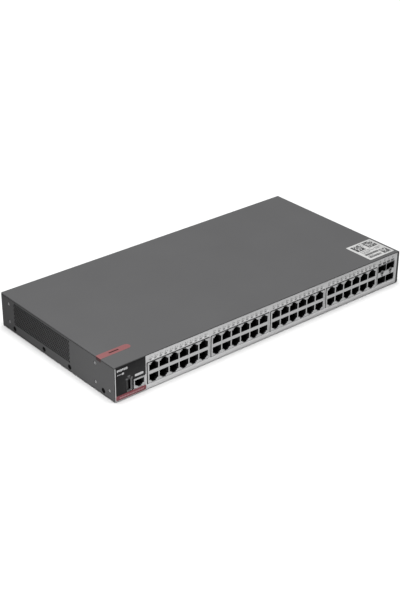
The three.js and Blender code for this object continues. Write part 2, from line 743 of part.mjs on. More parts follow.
function mainsInlet() {
  const flange = centred(INLET_X, INLET_Z, INLET_FLANGE);
  const shellShape = centred(INLET_X, INLET_Z, INLET_SHELL);
  const mouth = polygon([
    [INLET_X - 12, INLET_Z - 8.25], [INLET_X + 12, INLET_Z - 8.25],
    [INLET_X + 12, INLET_Z + 3.25], [INLET_X + 7, INLET_Z + 8.25],
    [INLET_X - 7, INLET_Z + 8.25], [INLET_X - 12, INLET_Z + 3.25],
  ]);
  const shell = join(
    alongY(flange, TRAY_BACK + SEAT / 2, INLET_FACE),
    alongY(shellShape, INLET_REAR, TRAY_BACK + SEAT),
  );
  const cut = shell
    .subtract(toSolid(alongY(mouth, INLET_FACE - INLET_DEPTH, BACK + 1)))
    .subtract(toTool(inletBlades(SEAT, INLET_REAR - 1, BACK)));
  piece('mains_inlet', toGeometry(cut), blackPlastic);
  const blades = inletBlades(0, INLET_REAR - BLADE_TAIL, INLET_FACE - 1.5);
  ['line', 'neutral', 'earth'].forEach((word, i) => {
    piece(`mains_blade_${word}`, blades[i], brassPlate);
  });
}

// The three upright blades of the inlet, grown by the margin.
function inletBlades(margin, from, to) {
  const [halfX, halfZ] = BLADE_HALF.map((half) => half + margin);
  return BLADE_AT.map(([dx, dz]) => block(
    [INLET_X + dx - halfX, from, INLET_Z + dz - halfZ],
    [INLET_X + dx + halfX, to, INLET_Z + dz + halfZ],
  ));
}

// ---------- fans ----------

function fanFrame(index, y) {
  const half = FAN_SIZE / 2;
  const square = rectangle(y - half, FAN_Z - half, y + half, FAN_Z + half, 3);
  const holes = [regularPolygon(y, FAN_Z, FAN_BORE, 24)];
  for (const dy of [-FAN_SCREW_AT, FAN_SCREW_AT]) {
    for (const dz of [-FAN_SCREW_AT, FAN_SCREW_AT]) {
      holes.push(regularPolygon(y + dy, FAN_Z + dz, 1.8, 8));
    }
  }
  const motor = regularPolygon(y, FAN_Z, FAN_HUB, 24);
  const shaftHole = [regularPolygon(y, FAN_Z, FAN_SHAFT_BORE, 16)];
  const inner = FAN_OUTER_X - FAN_MOTOR_THICK;
  const spokes = numbered(FAN_SPOKES).map((i) => {
    const spoke = block(
      [inner, FAN_HUB - 1, -FAN_SPOKE_HALF],
      [FAN_OUTER_X, FAN_BORE + 0.8, FAN_SPOKE_HALF],
    );
    return spoke.rotateX(((i + 0.5) * 2 * Math.PI) / FAN_SPOKES).translate(0, y, FAN_Z);
  });
  const frame = join(
    pierced(alongX, square, holes, FAN_OUTER_X - FAN_THICK, FAN_OUTER_X),
    pierced(alongX, motor, shaftHole, inner, FAN_OUTER_X),
    ...spokes,
  );
  piece(`fan_frame_${index}`, toGeometry(frame), blackPlastic);
}

function fanRotor(index, y) {
  const back = FAN_OUTER_X - FAN_MOTOR_THICK - 0.8;
  const front = FAN_OUTER_X - FAN_THICK + 1.5;
  const hub = alongX(regularPolygon(0, 0, FAN_HUB, 20), front, back);
  const shaft = alongX(regularPolygon(0, 0, FAN_SHAFT, 12), back - 1, FAN_OUTER_X - 0.5);
  // A blade: a curved strip seen from the rim, extruded outwards from the hub.
  const steps = 4;
  const reach = back - front - 1;
  const edge = (shift) => numbered(steps + 1).map((i) => {
    const t = i / steps;
    return [7 * (t - 0.5) * (1.4 - 0.8 * t) + shift, front + 0.5 + reach * t];
  });
  const strip = polygon([...edge(-0.6), ...edge(0.6).reverse()]);
  const blades = numbered(FAN_BLADES).map((i) => {
    const blade = extruded(strip, FAN_TIP - FAN_HUB + 1.5);
    const turn = new THREE.Matrix4().makeBasis(
      new THREE.Vector3(0, 1, 0),
      new THREE.Vector3(1, 0, 0),
      new THREE.Vector3(0, 0, -1),
    );
    blade.applyMatrix4(turn).translate(0, 0, FAN_TIP - 0.4);
    return blade.rotateX((i * 2 * Math.PI) / FAN_BLADES);
  });
  const rotor = piece(`fan_rotor_${index}`, toGeometry(join(hub, shaft, ...blades)), blackPlastic);
  rotor.position.set(0, y, FAN_Z);
}

function fanBracket() {
  const x = FAN_OUTER_X - FAN_THICK - SEAT;
  const front = FAN_Y[0] - BRACKET_REACH;
  const back = FAN_Y[1] + BRACKET_REACH;
  const wall = rectangle(front, SHEET + SEAT, back, BRACKET_TOP);
  const openings = FAN_Y.map((y) => regularPolygon(y, FAN_Z, FAN_BORE, 20));
  const foot = block(
    [x - BRACKET_FOOT_WIDTH, front, SHEET + SEAT],
    [x, back, 2 * SHEET + SEAT],
  );
  const bracket = join(pierced(alongX, wall, openings, x - SHEET, x), foot);
  piece('fan_bracket', toGeometry(bracket), innerSteel);
}

topCover();
baseTray();
frontPlate();
frontOverlay();
labels();
jackBlocks();
consoleJack();
usbPort();
moduleCage();
sideFasteners();
mainBoard();
heatSinks();
powerSupply();
mainsInlet();
FAN_Y.forEach((y, i) => {
  fanFrame(i + 1, y);
  fanRotor(i + 1, y);
});
fanBracket();

export default switchGroup;
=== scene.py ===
"""Looks of a rackmount network switch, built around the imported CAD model.

Lengths are in millimetres wherever a name or comment doesn't say metres, and become metres in
Form and plate(). X runs along the front, Y from front to back, Z up.
"""

import math
import random

import bmesh
import bpy
from mathutils import Matrix, Vector


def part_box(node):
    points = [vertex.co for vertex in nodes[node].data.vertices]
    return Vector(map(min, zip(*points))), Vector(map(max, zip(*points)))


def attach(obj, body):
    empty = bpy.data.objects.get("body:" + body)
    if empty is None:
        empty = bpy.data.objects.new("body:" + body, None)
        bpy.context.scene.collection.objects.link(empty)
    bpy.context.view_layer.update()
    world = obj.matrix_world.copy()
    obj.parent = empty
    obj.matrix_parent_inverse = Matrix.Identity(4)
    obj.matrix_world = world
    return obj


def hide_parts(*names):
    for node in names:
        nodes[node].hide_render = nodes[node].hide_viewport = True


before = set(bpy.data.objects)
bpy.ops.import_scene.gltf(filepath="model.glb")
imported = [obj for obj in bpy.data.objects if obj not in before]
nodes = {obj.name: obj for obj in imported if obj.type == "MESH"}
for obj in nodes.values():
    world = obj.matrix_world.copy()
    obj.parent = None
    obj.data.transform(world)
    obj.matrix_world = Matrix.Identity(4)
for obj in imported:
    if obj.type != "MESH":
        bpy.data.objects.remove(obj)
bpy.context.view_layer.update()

MM = 0.001
BODY = "chassis"


# ---------- finishes ----------


# The lights are strong and every finish is this much darker, the floor's too, so that less light
# bounces off the floor onto the sides
TONE = 0.62
ROUGH_SPREAD = 0.06


def tinted(color, factor):
    return [min(1.0, c * factor * TONE) for c in color] + [1.0]


def surface(name, color, roughness, metallic=0.0, tint=0.08, patch=25.0, grain=1500.0,
            height=0.01, stretch=(1, 1, 1), **constant):
    """A procedural finish: slow patches of colour and roughness, and a fine bump grain.

    patch and grain are noise scales per metre, height is the grain's depth in mm, and stretch
    scales the noise along each axis, which draws it out into brushing.
    """
    material = bpy.data.materials.new(name)
    material.use_nodes = True
    tree = material.node_tree
    bsdf = tree.nodes["Principled BSDF"]
    bsdf.inputs["Metallic"].default_value = metallic
    for socket, value in constant.items():
        bsdf.inputs[socket.replace("_", " ")].default_value = value
    place = tree.nodes.new("ShaderNodeTexCoord")
    mapping = tree.nodes.new("ShaderNodeMapping")
    mapping.inputs["Scale"].default_value = stretch
    tree.links.new(place.outputs["Object"], mapping.inputs["Vector"])

    def noise(scale, detail):
        node = tree.nodes.new("ShaderNodeTexNoise")
        node.inputs["Scale"].default_value = scale
        node.inputs["Detail"].default_value = detail
        tree.links.new(mapping.outputs["Vector"], node.inputs["Vector"])
        return node.outputs["Fac"]

    # On a colour mix, inputs 6 and 7 are the two colours and output 2 is the result
    patches = noise(patch, 4)
    mix = tree.nodes.new("ShaderNodeMix")
    mix.data_type = "RGBA"
    mix.inputs[6].default_value = tinted(color, 1 - tint)
    mix.inputs[7].default_value = tinted(color, 1 + tint)
    tree.links.new(patches, mix.inputs["Factor"])
    tree.links.new(mix.outputs[2], bsdf.inputs["Base Color"])

    # Most of the noise lies between 0.3 and 0.7
    spread = tree.nodes.new("ShaderNodeMapRange")
    spread.inputs["From Min"].default_value = 0.3
    spread.inputs["From Max"].default_value = 0.7
    spread.inputs["To Min"].default_value = roughness - ROUGH_SPREAD
    spread.inputs["To Max"].default_value = roughness + ROUGH_SPREAD
    fine = noise(grain, 2)
    tree.links.new(fine, spread.inputs["Value"])
    tree.links.new(spread.outputs["Result"], bsdf.inputs["Roughness"])

    bump = tree.nodes.new("ShaderNodeBump")
    bump.inputs["Strength"].default_value = 1.0
    bump.inputs["Distance"].default_value = height * MM
    tree.links.new(fine, bump.inputs["Height"])
    tree.links.new(bump.outputs["Normal"], bsdf.inputs["Normal"])
    return material


grey_paint = surface("grey_paint", (0.082, 0.082, 0.0832), 0.55, tint=0.05, patch=18, height=0.03,
                     Specular_IOR_Level=0.02)
silver_paint = surface("silver_paint", (0.68, 0.68, 0.684), 0.45, 0.1, tint=0.03, patch=30, grain=2500)
shield_tin = surface("shield_tin", (0.61, 0.613, 0.618), 0.4, 0.5, tint=0.07, patch=60, grain=900,
                     stretch=(0.3, 1, 1))
# A near-black copy of shield_tin: painted shade on the walls of the shields and the cage behind their
# faces, and on the cage's tabs
shaded_shield_tin = surface("shaded_shield_tin", (0.06, 0.06, 0.062), 0.5, 0.5, tint=0.1, patch=60, grain=900)
lug_steel = surface("lug_steel", (0.19, 0.19, 0.193), 0.45, 0.5, tint=0.1, patch=60, grain=900)
# Near-black paint: painted shade on the vents' walls and in the seam groove
shade = surface("shade", (0.044, 0.044, 0.0445), 0.7, tint=0.1, grain=1200, Specular_IOR_Level=0.05)
# Black plastic of the jack housings, also used as painted shade: the sheets in the gaps round the ports,
# the bar over the film, the inside of the USB port and the bays' linings
jack_plastic_and_shade = surface("jack_plastic_and_shade", (0.004, 0.004, 0.0045), 0.6, tint=0.12, grain=1400,
                       height=0.02, Specular_IOR_Level=0.15)
tray_zinc = surface("tray_zinc", (0.42, 0.43, 0.44), 0.4, 0.9, tint=0.18, patch=45, grain=700)
black_film = surface("black_film", (0.0055, 0.0055, 0.006), 0.42, tint=0.1, grain=1800,
                     height=0.012, Specular_IOR_Level=0.15)
black_plastic = surface("black_plastic", (0.012, 0.012, 0.013), 0.55, tint=0.12, grain=1400, height=0.02)
red_film = surface("red_film", (0.20, 0.030, 0.043), 0.28, height=0.012)
red_label = surface("red_label", (0.175, 0.056, 0.058), 0.5, height=0.012)
# Dark red for the corner label's printed bar, and as painted shade on its bent flap
red_print_and_shade = surface("red_print_and_shade", (0.022, 0.003, 0.004), 0.5, Specular_IOR_Level=0.2)
white_paper = surface("white_paper", (0.37, 0.37, 0.366), 0.6, tint=0.03, grain=2200, height=0.008)
label_ink = surface("label_ink", (0.02, 0.02, 0.022), 0.55, tint=0.15, grain=2200, height=0.005)
grey_ink = surface("grey_ink", (0.13, 0.13, 0.132), 0.5, tint=0.1, grain=2000, height=0.005)
grey_symbol = surface("grey_symbol", (0.10, 0.10, 0.105), 0.5, tint=0.1, grain=2000, height=0.005)
white_ink = surface("white_ink", (0.62, 0.62, 0.63), 0.5, tint=0.05, grain=2000, height=0.005)
clear_lens = surface("clear_lens", (0.93, 0.94, 0.94), 0.3, tint=0.03, grain=900, height=0.004,
                     Transmission_Weight=0.1)
smoky_lens = surface("smoky_lens", (0.25, 0.25, 0.253), 0.3, tint=0.05, grain=900, height=0.004,
                     Transmission_Weight=0.1)
gold = surface("gold", (0.62, 0.42, 0.15), 0.28, 1.0, grain=2000, height=0.004)
# Gold darkened to painted shade, for the contacts deep in the jacks
contact_gold_in_shade = surface("contact_gold_in_shade", (0.04, 0.025, 0.010), 0.5, 0.6, grain=2000, height=0.004)
pale_red = surface("pale_red", (0.40, 0.20, 0.22), 0.4, height=0.005)
board_green = surface("board_green", (0.015, 0.11, 0.045), 0.35, tint=0.15, patch=200, grain=1600,
                      height=0.015)
# A tan board darkened to painted shade, as the inside shows through the vents
shaded_board_tan = surface("shaded_board_tan", (0.11, 0.08, 0.04), 0.6, tint=0.12, patch=120, grain=1800)
alloy = surface("alloy", (0.56, 0.57, 0.59), 0.38, 1.0, tint=0.05, grain=1200, stretch=(1, 0.05, 1))
ferrite = surface("ferrite", (0.035, 0.035, 0.038), 0.6, tint=0.15, height=0.03)
# Amber tape darkened to painted shade, as the inside shows through the vents
shaded_tape = surface("shaded_tape", (0.15, 0.11, 0.03), 0.35, tint=0.1, grain=900, height=0.02)
sleeve = surface("sleeve", (0.012, 0.014, 0.03), 0.25, tint=0.1, grain=900, height=0.005)
black_steel = surface("black_steel", (0.002, 0.002, 0.0023), 0.5, tint=0.2, grain=1300,
                      Specular_IOR_Level=0.03)
dull_zinc = surface("dull_zinc", (0.46, 0.46, 0.466), 0.42, 0.6, height=0.006)
zinc = surface("zinc", (0.74, 0.745, 0.76), 0.24, 1.0, tint=0.06, height=0.006)


# ---------- mesh tools ----------

WELD = 1e-6  # metres between points that count as one
SMOOTH_ANGLE = 35.0
INK = 0.03
FIGURE_GROWTH = 0.06
LEAST_RADIUS = 0.001


def basis(u, v, origin):
    """The plane with axes u and v through origin, in mm. Its third axis points outwards."""
    u, v = Vector(u), Vector(v)
    matrix = Matrix((u, v, u.cross(v))).transposed().to_4x4()
    matrix.translation = Vector(origin) * MM
    return matrix


def front_plane(y):
    return basis((1, 0, 0), (0, 0, 1), (0, y, 0))


def side_plane(side, x):
    """side is 1 for the right and -1 for the left, where the first coordinate is -Y."""
    return basis((0, side, 0), (0, 0, 1), (side * x, 0, 0))


def top_plane(z):
    return basis((1, 0, 0), (0, 1, 0), (0, 0, z))


def rectangle(u0, v0, u1, v1, radius=0.0, steps=3):
    if radius <= 0:
        return [(u0, v0), (u1, v0), (u1, v1), (u0, v1)]
    centres = [(u1 - radius, v1 - radius), (u0 + radius, v1 - radius),
               (u0 + radius, v0 + radius), (u1 - radius, v0 + radius)]
    points = []
    for quarter, (u, v) in enumerate(centres):
        for step in range(steps + 1):
            angle = (quarter + step / steps) * math.pi / 2
            points.append((u + radius * math.cos(angle), v + radius * math.sin(angle)))
    return points


def around(u, v, half_u, half_v, radius, steps):
    return rectangle(u - half_u, v - half_v, u + half_u, v + half_v, radius, steps)


def ngon(u, v, radius, sides):
    angles = [(i + 0.5) * 2 * math.pi / sides for i in range(sides)]
    return [(u + radius * math.cos(a), v + radius * math.sin(a)) for a in angles]


def area(loop):
    return sum(a[0] * b[1] - b[0] * a[1] for a, b in zip(loop, loop[1:] + loop[:1])) / 2


def new_object(name, data):
    obj = bpy.data.objects.new(name, data)
    bpy.context.scene.collection.objects.link(obj)
    return obj


def mesh_of(curve, matrix):
    """The mesh that a curve makes, moved by matrix. The curve is used up."""
    holder = new_object("shape", curve)
    evaluated = holder.evaluated_get(bpy.context.evaluated_depsgraph_get())
    mesh = bpy.data.meshes.new_from_object(evaluated)
    bpy.data.objects.remove(holder)
    bpy.data.curves.remove(curve)
    mesh.transform(matrix)
    return mesh


def plate(outline, holes, thickness, plane, bevel=0.0):
    """Mesh of a flat sheet with holes. Its outer face is on the plane, and it is thick inwards."""
    curve = bpy.data.curves.new("sheet", "CURVE")
    curve.dimensions = "2D"
    curve.fill_mode = "BOTH"
    curve.extrude = (thickness / 2 - bevel) * MM
    curve.bevel_depth = bevel * MM
    curve.bevel_resolution = 1
    curve.offset = -bevel * MM
    for i, loop in enumerate([outline, *holes]):
        if (area(loop) > 0) != (i == 0):
            loop = loop[::-1]
        spline = curve.splines.new("POLY")
        spline.points.add(len(loop) - 1)
        for point, (u, v) in zip(spline.points, loop):
            point.co = (u * MM, v * MM, 0, 1)
        spline.use_cyclic_u = True
    return mesh_of(curve, plane @ Matrix.Translation((0, 0, -thickness / 2 * MM)))


class Form:
    """One piece's mesh, put together from shapes. Each shape takes a material index."""

    def __init__(self):
        self.bm = bmesh.new()

    def paint(self, before, index):
        self.bm.faces.ensure_lookup_table()
        for face in self.bm.faces[before:]:
            face.material_index = index

    def mesh(self, mesh, index=0):
        before = len(self.bm.faces)
        self.bm.from_mesh(mesh)
        bpy.data.meshes.remove(mesh)
        self.paint(before, index)
        return self

    def plate(self, outline, holes, thickness, plane, bevel=0.0, index=0):
        return self.mesh(plate(outline, holes, thickness, plane, bevel), index)

    def box(self, low, high, bevel=0.0, index=0):
        before = len(self.bm.faces)
        low, high = Vector(low) * MM, Vector(high) * MM
        matrix = Matrix.Translation((low + high) / 2) @ Matrix.Diagonal((*(high - low), 1))
        made = bmesh.ops.create_cube(self.bm, size=1, matrix=matrix)
        if bevel:
            edges = {e for v in made["verts"] for e in v.link_edges}
            bmesh.ops.bevel(self.bm, geom=list(edges), offset=bevel * MM, segments=2,
                            profile=0.5, affect="EDGES")
        self.paint(before, index)
        return self

    def rings(self, loops, closed=True, caps=True, index=0):
        """Skins a row of loops, each a list of points in mm, all of one length."""
        before = len(self.bm.faces)
        rows = [[self.bm.verts.new(Vector(p) * MM) for p in loop] for loop in loops]
        count = len(rows[0])
        for a, b in zip(rows, rows[1:]):
            for i in range(count if closed else count - 1):
                j = (i + 1) % count
                self.bm.faces.new((a[i], a[j], b[j], b[i]))
        if caps:
            self.bm.faces.new(rows[0][::-1])
            self.bm.faces.new(rows[-1])
        self.paint(before, index)
        return self

    def lathe(self, profile, centre, axis, segments):
        """Turns a profile of (radius, along) about a line through centre."""
        turn = Vector((0, 0, 1)).rotation_difference(Vector(axis)).to_matrix()
        angles = [2 * math.pi * i / segments for i in range(segments)]
        loops = []
        for radius, along in profile:
            radius = max(radius, LEAST_RADIUS)
            loops.append([Vector(centre) + turn @ Vector((radius * math.cos(a),
                                                          radius * math.sin(a), along))
                          for a in angles])
        return self.rings(loops)

    def text(self, body, size, u, v, plane):
        """Figures printed on a plane, half sunk into it."""
        curve = bpy.data.curves.new("figure", "FONT")
        curve.body = body
        curve.size = size * MM
        curve.align_x = "CENTER"
        curve.align_y = "CENTER"
        curve.extrude = INK / 2 * MM
        curve.offset = FIGURE_GROWTH * MM
        curve.resolution_u = 2
        return self.mesh(mesh_of(curve, plane @ Matrix.Translation((u * MM, v * MM, 0))))

    def drop_doubles(self):
        """Removes pairs of faces that lie on each other, where two shapes meet."""
        bmesh.ops.remove_doubles(self.bm, verts=self.bm.verts, dist=WELD)
        seen = {}
        for face in self.bm.faces:
            seen.setdefault(frozenset(v.index for v in face.verts), []).append(face)
        twins = [f for faces in seen.values() if len(faces) > 1 for f in faces]
        bmesh.ops.delete(self.bm, geom=twins, context="FACES_ONLY")
        return self

    def piece(self, name, materials, slot, body=BODY, replaces=()):
        bmesh.ops.remove_doubles(self.bm, verts=self.bm.verts, dist=WELD)
        bmesh.ops.recalc_face_normals(self.bm, faces=self.bm.faces)
        mesh = bpy.data.meshes.new(name)
        self.bm.to_mesh(mesh)
        self.bm.free()
        for material in materials:
            mesh.materials.append(material)
        mesh.shade_smooth()
        mesh.set_sharp_from_angle(angle=math.radians(SMOOTH_ANGLE))
        obj = new_object(name, mesh)
        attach(obj, body)
        if replaces:
            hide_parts(*replaces)


def node_box(name):
    """Lowest and highest corner of a CAD node, in mm."""
    low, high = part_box(name)
    return low / MM, high / MM


def middle_yz(box):
    low, high = box
    return (low.y + high.y) / 2, (low.z + high.z) / 2


# ---------- places ----------

cover_low, cover_high = node_box("top_cover")
plate_low, plate_high = node_box("front_plate")
tray_low, tray_high = node_box("base_tray")
HALF_WIDTH = cover_high.x
SHEET = 1.0
BEND = 1.3
SCREW_AT = [middle_yz(node_box(f"cover_screw_left_{i + 1}")) for i in range(4)]
INSERT_AT = [middle_yz(node_box(f"rack_insert_left_{i + 1}")) for i in range(5)]

BLOCKS = [node_box(f"jack_shield_{i + 1}") for i in range(4)]
OVERLAY = node_box("front_overlay")
ACCENT = node_box("accent_strip")
CONSOLE = node_box("console_jack_shield")
USB = node_box("usb_port_shell")
CAGE = node_box("module_cage")
STICKER = node_box("info_sticker")

# Sign 1 is a jack of the upper row, whose latch slot points up, and -1 one of the lower row.
# JACK_BAR is half the bar between the rows, and each step of a slot is its width and its rise.
JACK_COLUMNS = 6
JACK_PITCH = 14.05
JACK_WIDTH = 12.6
JACK_HEIGHT = 7.7
JACK_BAR = 2.05
JACK_STEPS = {1: [(8.4, 1.4), (5.0, 1.2)], -1: [(8.4, 1.4), (5.0, 1.5)]}

# How far a block's shield stays below the top of its CAD node
SHIELD_DROP = 0.6


def jack_outline(u, base, sign, height=JACK_HEIGHT):
    """One jack opening, with its stepped latch slot on the side that sign points to."""
    v = base + sign * height
    right = [(JACK_WIDTH / 2, base), (JACK_WIDTH / 2, v)]
    for width, rise in JACK_STEPS[sign]:
        right.append((width / 2, v))
        v += sign * rise
        right.append((width / 2, v))
    left = [(-a, b) for a, b in reversed(right)]
    return [(u + a, b) for a, b in right + left]


def jacks_of(box):
    """(x, base, sign) of the twelve jacks of a block, upper and lower row by turns."""
    low, high = box
    middle = (low.x + high.x) / 2
    rise = (low.z + high.z) / 2
    columns = [middle + (i - (JACK_COLUMNS - 1) / 2) * JACK_PITCH for i in range(JACK_COLUMNS)]
    return [(x, rise + sign * JACK_BAR, sign) for x in columns for sign in (1, -1)]


JACKS = [jack for block in BLOCKS for jack in jacks_of(block)]


# ---------- cover ----------

VENT_FRONT = -27.2
VENT_BACK = 88.2
VENT_FOOT = 11.4
VENT_TOP = 40.4
VENT_PITCH = 3.0
VENT_ACROSS = 2.5
SEAM_FOOT = 41.6
SEAM_DEPTH = 0.7
INSERT_HOLE = 2.25
SCREW_HOLE = 3.25

# The left wall starts this far behind the plate's face, and a strip fills the front from this far
# past the plate's right end
WALL_SETBACK = 0.5
RIGHT_GAP = 0.3


def vent_centres():
    step = VENT_PITCH * math.sqrt(3) / 2
    rows = int((VENT_TOP - VENT_FOOT - VENT_ACROSS) / step) + 1
    columns = int((VENT_BACK - VENT_FRONT - VENT_ACROSS) / VENT_PITCH)
    for row in range(rows):
        for column in range(columns):
            yield (VENT_FRONT + VENT_ACROSS / 2 + (column + (row % 2) / 2) * VENT_PITCH,
                   VENT_FOOT + VENT_ACROSS / 2 + row * step)


def shade_faces(form, inside):
    """Gives faces the darker index 1, a painted shade, where inside(centre in mm, normal) holds."""
    for face in form.bm.faces:
        face.normal_update()
        if abs(face.normal.y) < 0.9 and inside(face.calc_center_median() / MM, face.normal):
            face.material_index = 1


def in_vents(centre, normal):
    """The walls of the vent holes."""
    return (abs(normal.x) < 0.5 and VENT_FRONT < centre.y < VENT_BACK and VENT_FOOT < centre.z < VENT_TOP)


def in_seam(centre, _):
    """The groove between the top sheet and the side wall."""
    return (HALF_WIDTH - SHEET + 0.1 < abs(centre.x) < HALF_WIDTH - 0.1
            and SEAM_FOOT - 0.05 < centre.z < cover_high.z - BEND + 0.05)


def cover():
    form = Form()
    for side in (-1, 1):
        front = plate_low.y + WALL_SETBACK if side < 0 else cover_low.y
        outline = rectangle(front, cover_low.z, cover_high.y, SEAM_FOOT)
        if side > 0:
            outline.insert(3, (tray_low.y, SEAM_FOOT))
        outline = [(side * y, z) for y, z in outline]
        holes = [ngon(*at, VENT_ACROSS / math.sqrt(3), 6) for at in vent_centres()]
        holes += [ngon(*at, INSERT_HOLE, 24) for at in INSERT_AT]
        holes += [ngon(*at, SCREW_HOLE, 28) for at in SCREW_AT]
        holes = [[(side * y, z) for y, z in hole] for hole in holes]
        form.plate(outline, holes, SHEET, side_plane(side, HALF_WIDTH))
    # The vent holes' walls get painted shade
    shade_faces(form, in_vents)
    seam = HALF_WIDTH - SEAM_DEPTH
    bend_foot = cover_high.z - BEND
    outer = [(HALF_WIDTH, SEAM_FOOT), (seam, SEAM_FOOT), (seam, bend_foot)]
    inner = [(HALF_WIDTH - SHEET, SEAM_FOOT), (HALF_WIDTH - SHEET, (SEAM_FOOT + bend_foot) / 2),
             (HALF_WIDTH - SHEET, bend_foot - 0.1)]
    steps = 6
    for i in range(steps + 1):
        angle = i / steps * math.pi / 2
        for points, radius in ((outer, BEND), (inner, BEND - SHEET)):
            points.append((HALF_WIDTH - BEND + radius * math.cos(angle),
                           bend_foot + radius * math.sin(angle)))
    outer += [(-x, z) for x, z in reversed(outer)]
    inner += [(-x, z) for x, z in reversed(inner)]
    section = outer + inner[::-1]
    loops = [[(x, y, z) for x, z in section] for y in (cover_low.y, tray_low.y, cover_high.y)]
    form.rings(loops, caps=False)
    for loop, flip in ((loops[0], False), (loops[-1], True)):
        verts = [form.bm.verts.new(Vector(p) * MM) for p in loop]
        for i in range(len(outer) - 1):
            quad = [verts[i], verts[i + 1], verts[-2 - i], verts[-1 - i]]
            form.bm.faces.new(quad if flip else quad[::-1])
    # The seam groove gets painted shade
    shade_faces(form, in_seam)
    form.drop_doubles()
    form.box((plate_high.x + RIGHT_GAP, cover_low.y, cover_low.z),
             (HALF_WIDTH - SHEET / 2, cover_low.y + SHEET, cover_high.z - BEND / 2), bevel=0.15)
    form.piece("cover_shell", [grey_paint, shade], "grey_paint", replaces=["top_cover"])


# ---------- front ----------

WINDOW_GAP = 0.3
WINDOW_RADIUS = 1.2
GAP_SETBACK = 0.12
FILM_TOP = 40.9
PLATE_BEVEL = 0.12

# The plate's left end stands this far inside its CAD node, clear of the cover's wall
PLATE_INSET = 1.1

# Each jack has a smoky lens and a clear one in a row over the blocks. Offsets are from the jack's
# middle, by row of jacks.
LENS_ROW = 35.7
LENS_HALF = (1.5, 1.0)
LENS_OFFSET = {1: -4.6, -1: 2.4}
LENS_GAP = 0.15
LENS_SETBACK = 0.1
LENS_RADIUS = 0.3
CLEAR_OFFSET = {1: -1.1, -1: 5.9}
CLEAR_HALF = 1.0
CLEAR_RISE = (-0.9, 0.6)
BAY_LENS_X = [CAGE[0].x + offset for offset in (2.4, 10.6, 17.8, 25.0)]
BAY_LENS_ROW = 35.0
BAY_LENS_HALF = (2.8, 1.4)

FIGURE_ROW = 38.4
FIGURE_SIZE = 2.6
FIGURE_SHIFT = -0.8
ARROW_SHIFT = 1.8
ARROW_HALF = 0.7
ARROW_TIP = 0.8

# How much wider the gap round a port is on its left and above it
WIDER_GAP = {"block": (1.5, 0.65), "cage": (1.1, 0.0), "console": (0.9, 0.9), "usb": (0.0, 0.0)}


def window(box, kind, radius):
    """The window round a port."""
    low, high = box
    left, above = WIDER_GAP[kind]
    return rectangle(low.x - WINDOW_GAP - left, low.z - WINDOW_GAP, high.x + WINDOW_GAP,
                     high.z + WINDOW_GAP + above, radius)


def lens_outlines(inset=0.0):
    """Outlines of the smoky lenses, then of the module bays' lenses."""
    places = [(x + LENS_OFFSET[sign], LENS_ROW, LENS_HALF) for x, _, sign in JACKS]
    places += [(x, BAY_LENS_ROW, BAY_LENS_HALF) for x in BAY_LENS_X]
    return [around(u, v, half_u - inset, half_v - inset, LENS_RADIUS, 2)
            for u, v, (half_u, half_v) in places]


def front_panel():
    windows = [window(box, "block", WINDOW_RADIUS) for box in BLOCKS]
    windows += [window(CAGE, "cage", 0.4), window(CONSOLE, "console", 0.4), window(USB, "usb", 0.7)]
    left = plate_low.x + PLATE_INSET
    outline = [(left, plate_low.z), (plate_high.x, plate_low.z),
               (plate_high.x, plate_high.z), (OVERLAY[1].x, plate_high.z),
               (OVERLAY[1].x, FILM_TOP), (OVERLAY[0].x, FILM_TOP),
               (OVERLAY[0].x, plate_high.z), (left, plate_high.z)]
    thick = plate_high.y - plate_low.y
    form = Form().plate(outline, windows + lens_outlines(), thick, front_plane(plate_low.y), PLATE_BEVEL)
    form.piece("front_panel", [silver_paint], "silver_plate", replaces=["front_plate"])


def status_lenses():
    form = Form()
    behind = front_plane(plate_low.y + LENS_SETBACK)
    for i, outline in enumerate(lens_outlines(LENS_GAP)):
        form.plate(outline, [], 1.0, behind, 0.1, index=0 if i < len(JACKS) else 2)
    proud = front_plane(plate_low.y - 0.05)
    foot, top = [LENS_ROW + rise for rise in CLEAR_RISE]
    for x, _, sign in JACKS:
        u = x + CLEAR_OFFSET[sign]
        outline = rectangle(u - CLEAR_HALF, foot, u + CLEAR_HALF, top, LENS_RADIUS, 2)
        form.plate(outline, [], 0.1, proud, index=1)
    form.piece("status_lenses", [smoky_lens, clear_lens, grey_symbol], "black_overlay")


def port_gap_shade():
    """Black rims in the gaps round the blocks and the cage, as painted shade."""
    form = Form()
    for box, kind in [(box, "block") for box in BLOCKS] + [(CAGE, "cage")]:
        low, high = box
        top = high.z - (SHIELD_DROP if kind == "block" else 0)
        port = rectangle(low.x, low.z, high.x, top, 0.5)
        form.plate(window(box, kind, 0.4), [port], 0.1, front_plane(low.y + GAP_SETBACK))
    form.piece("port_gap_shade", [jack_plastic_and_shade], "black_plastic")


def port_figures():
    """The ports' numbers, each with an arrow that points to its row."""
    form = Form()
    plane = front_plane(plate_low.y)
    for i, (x, _, sign) in enumerate(JACKS):
        middle = x + LENS_OFFSET[sign]
        form.text(str(i + 1), FIGURE_SIZE, middle + FIGURE_SHIFT, FIGURE_ROW, plane)
        tip = ARROW_TIP * sign
        u = middle + ARROW_SHIFT
        foot = FIGURE_ROW - tip / 2
        arrow = [(u - ARROW_HALF, foot), (u + ARROW_HALF, foot), (u, FIGURE_ROW + tip)]
        form.plate(arrow, [], INK, front_plane(plate_low.y - INK / 2))
    for i, x in enumerate(BAY_LENS_X):
        form.text(str(len(JACKS) + i + 1), FIGURE_SIZE, x, FIGURE_ROW + 0.2, plane)
    form.piece("port_figures", [grey_ink], "black_overlay")


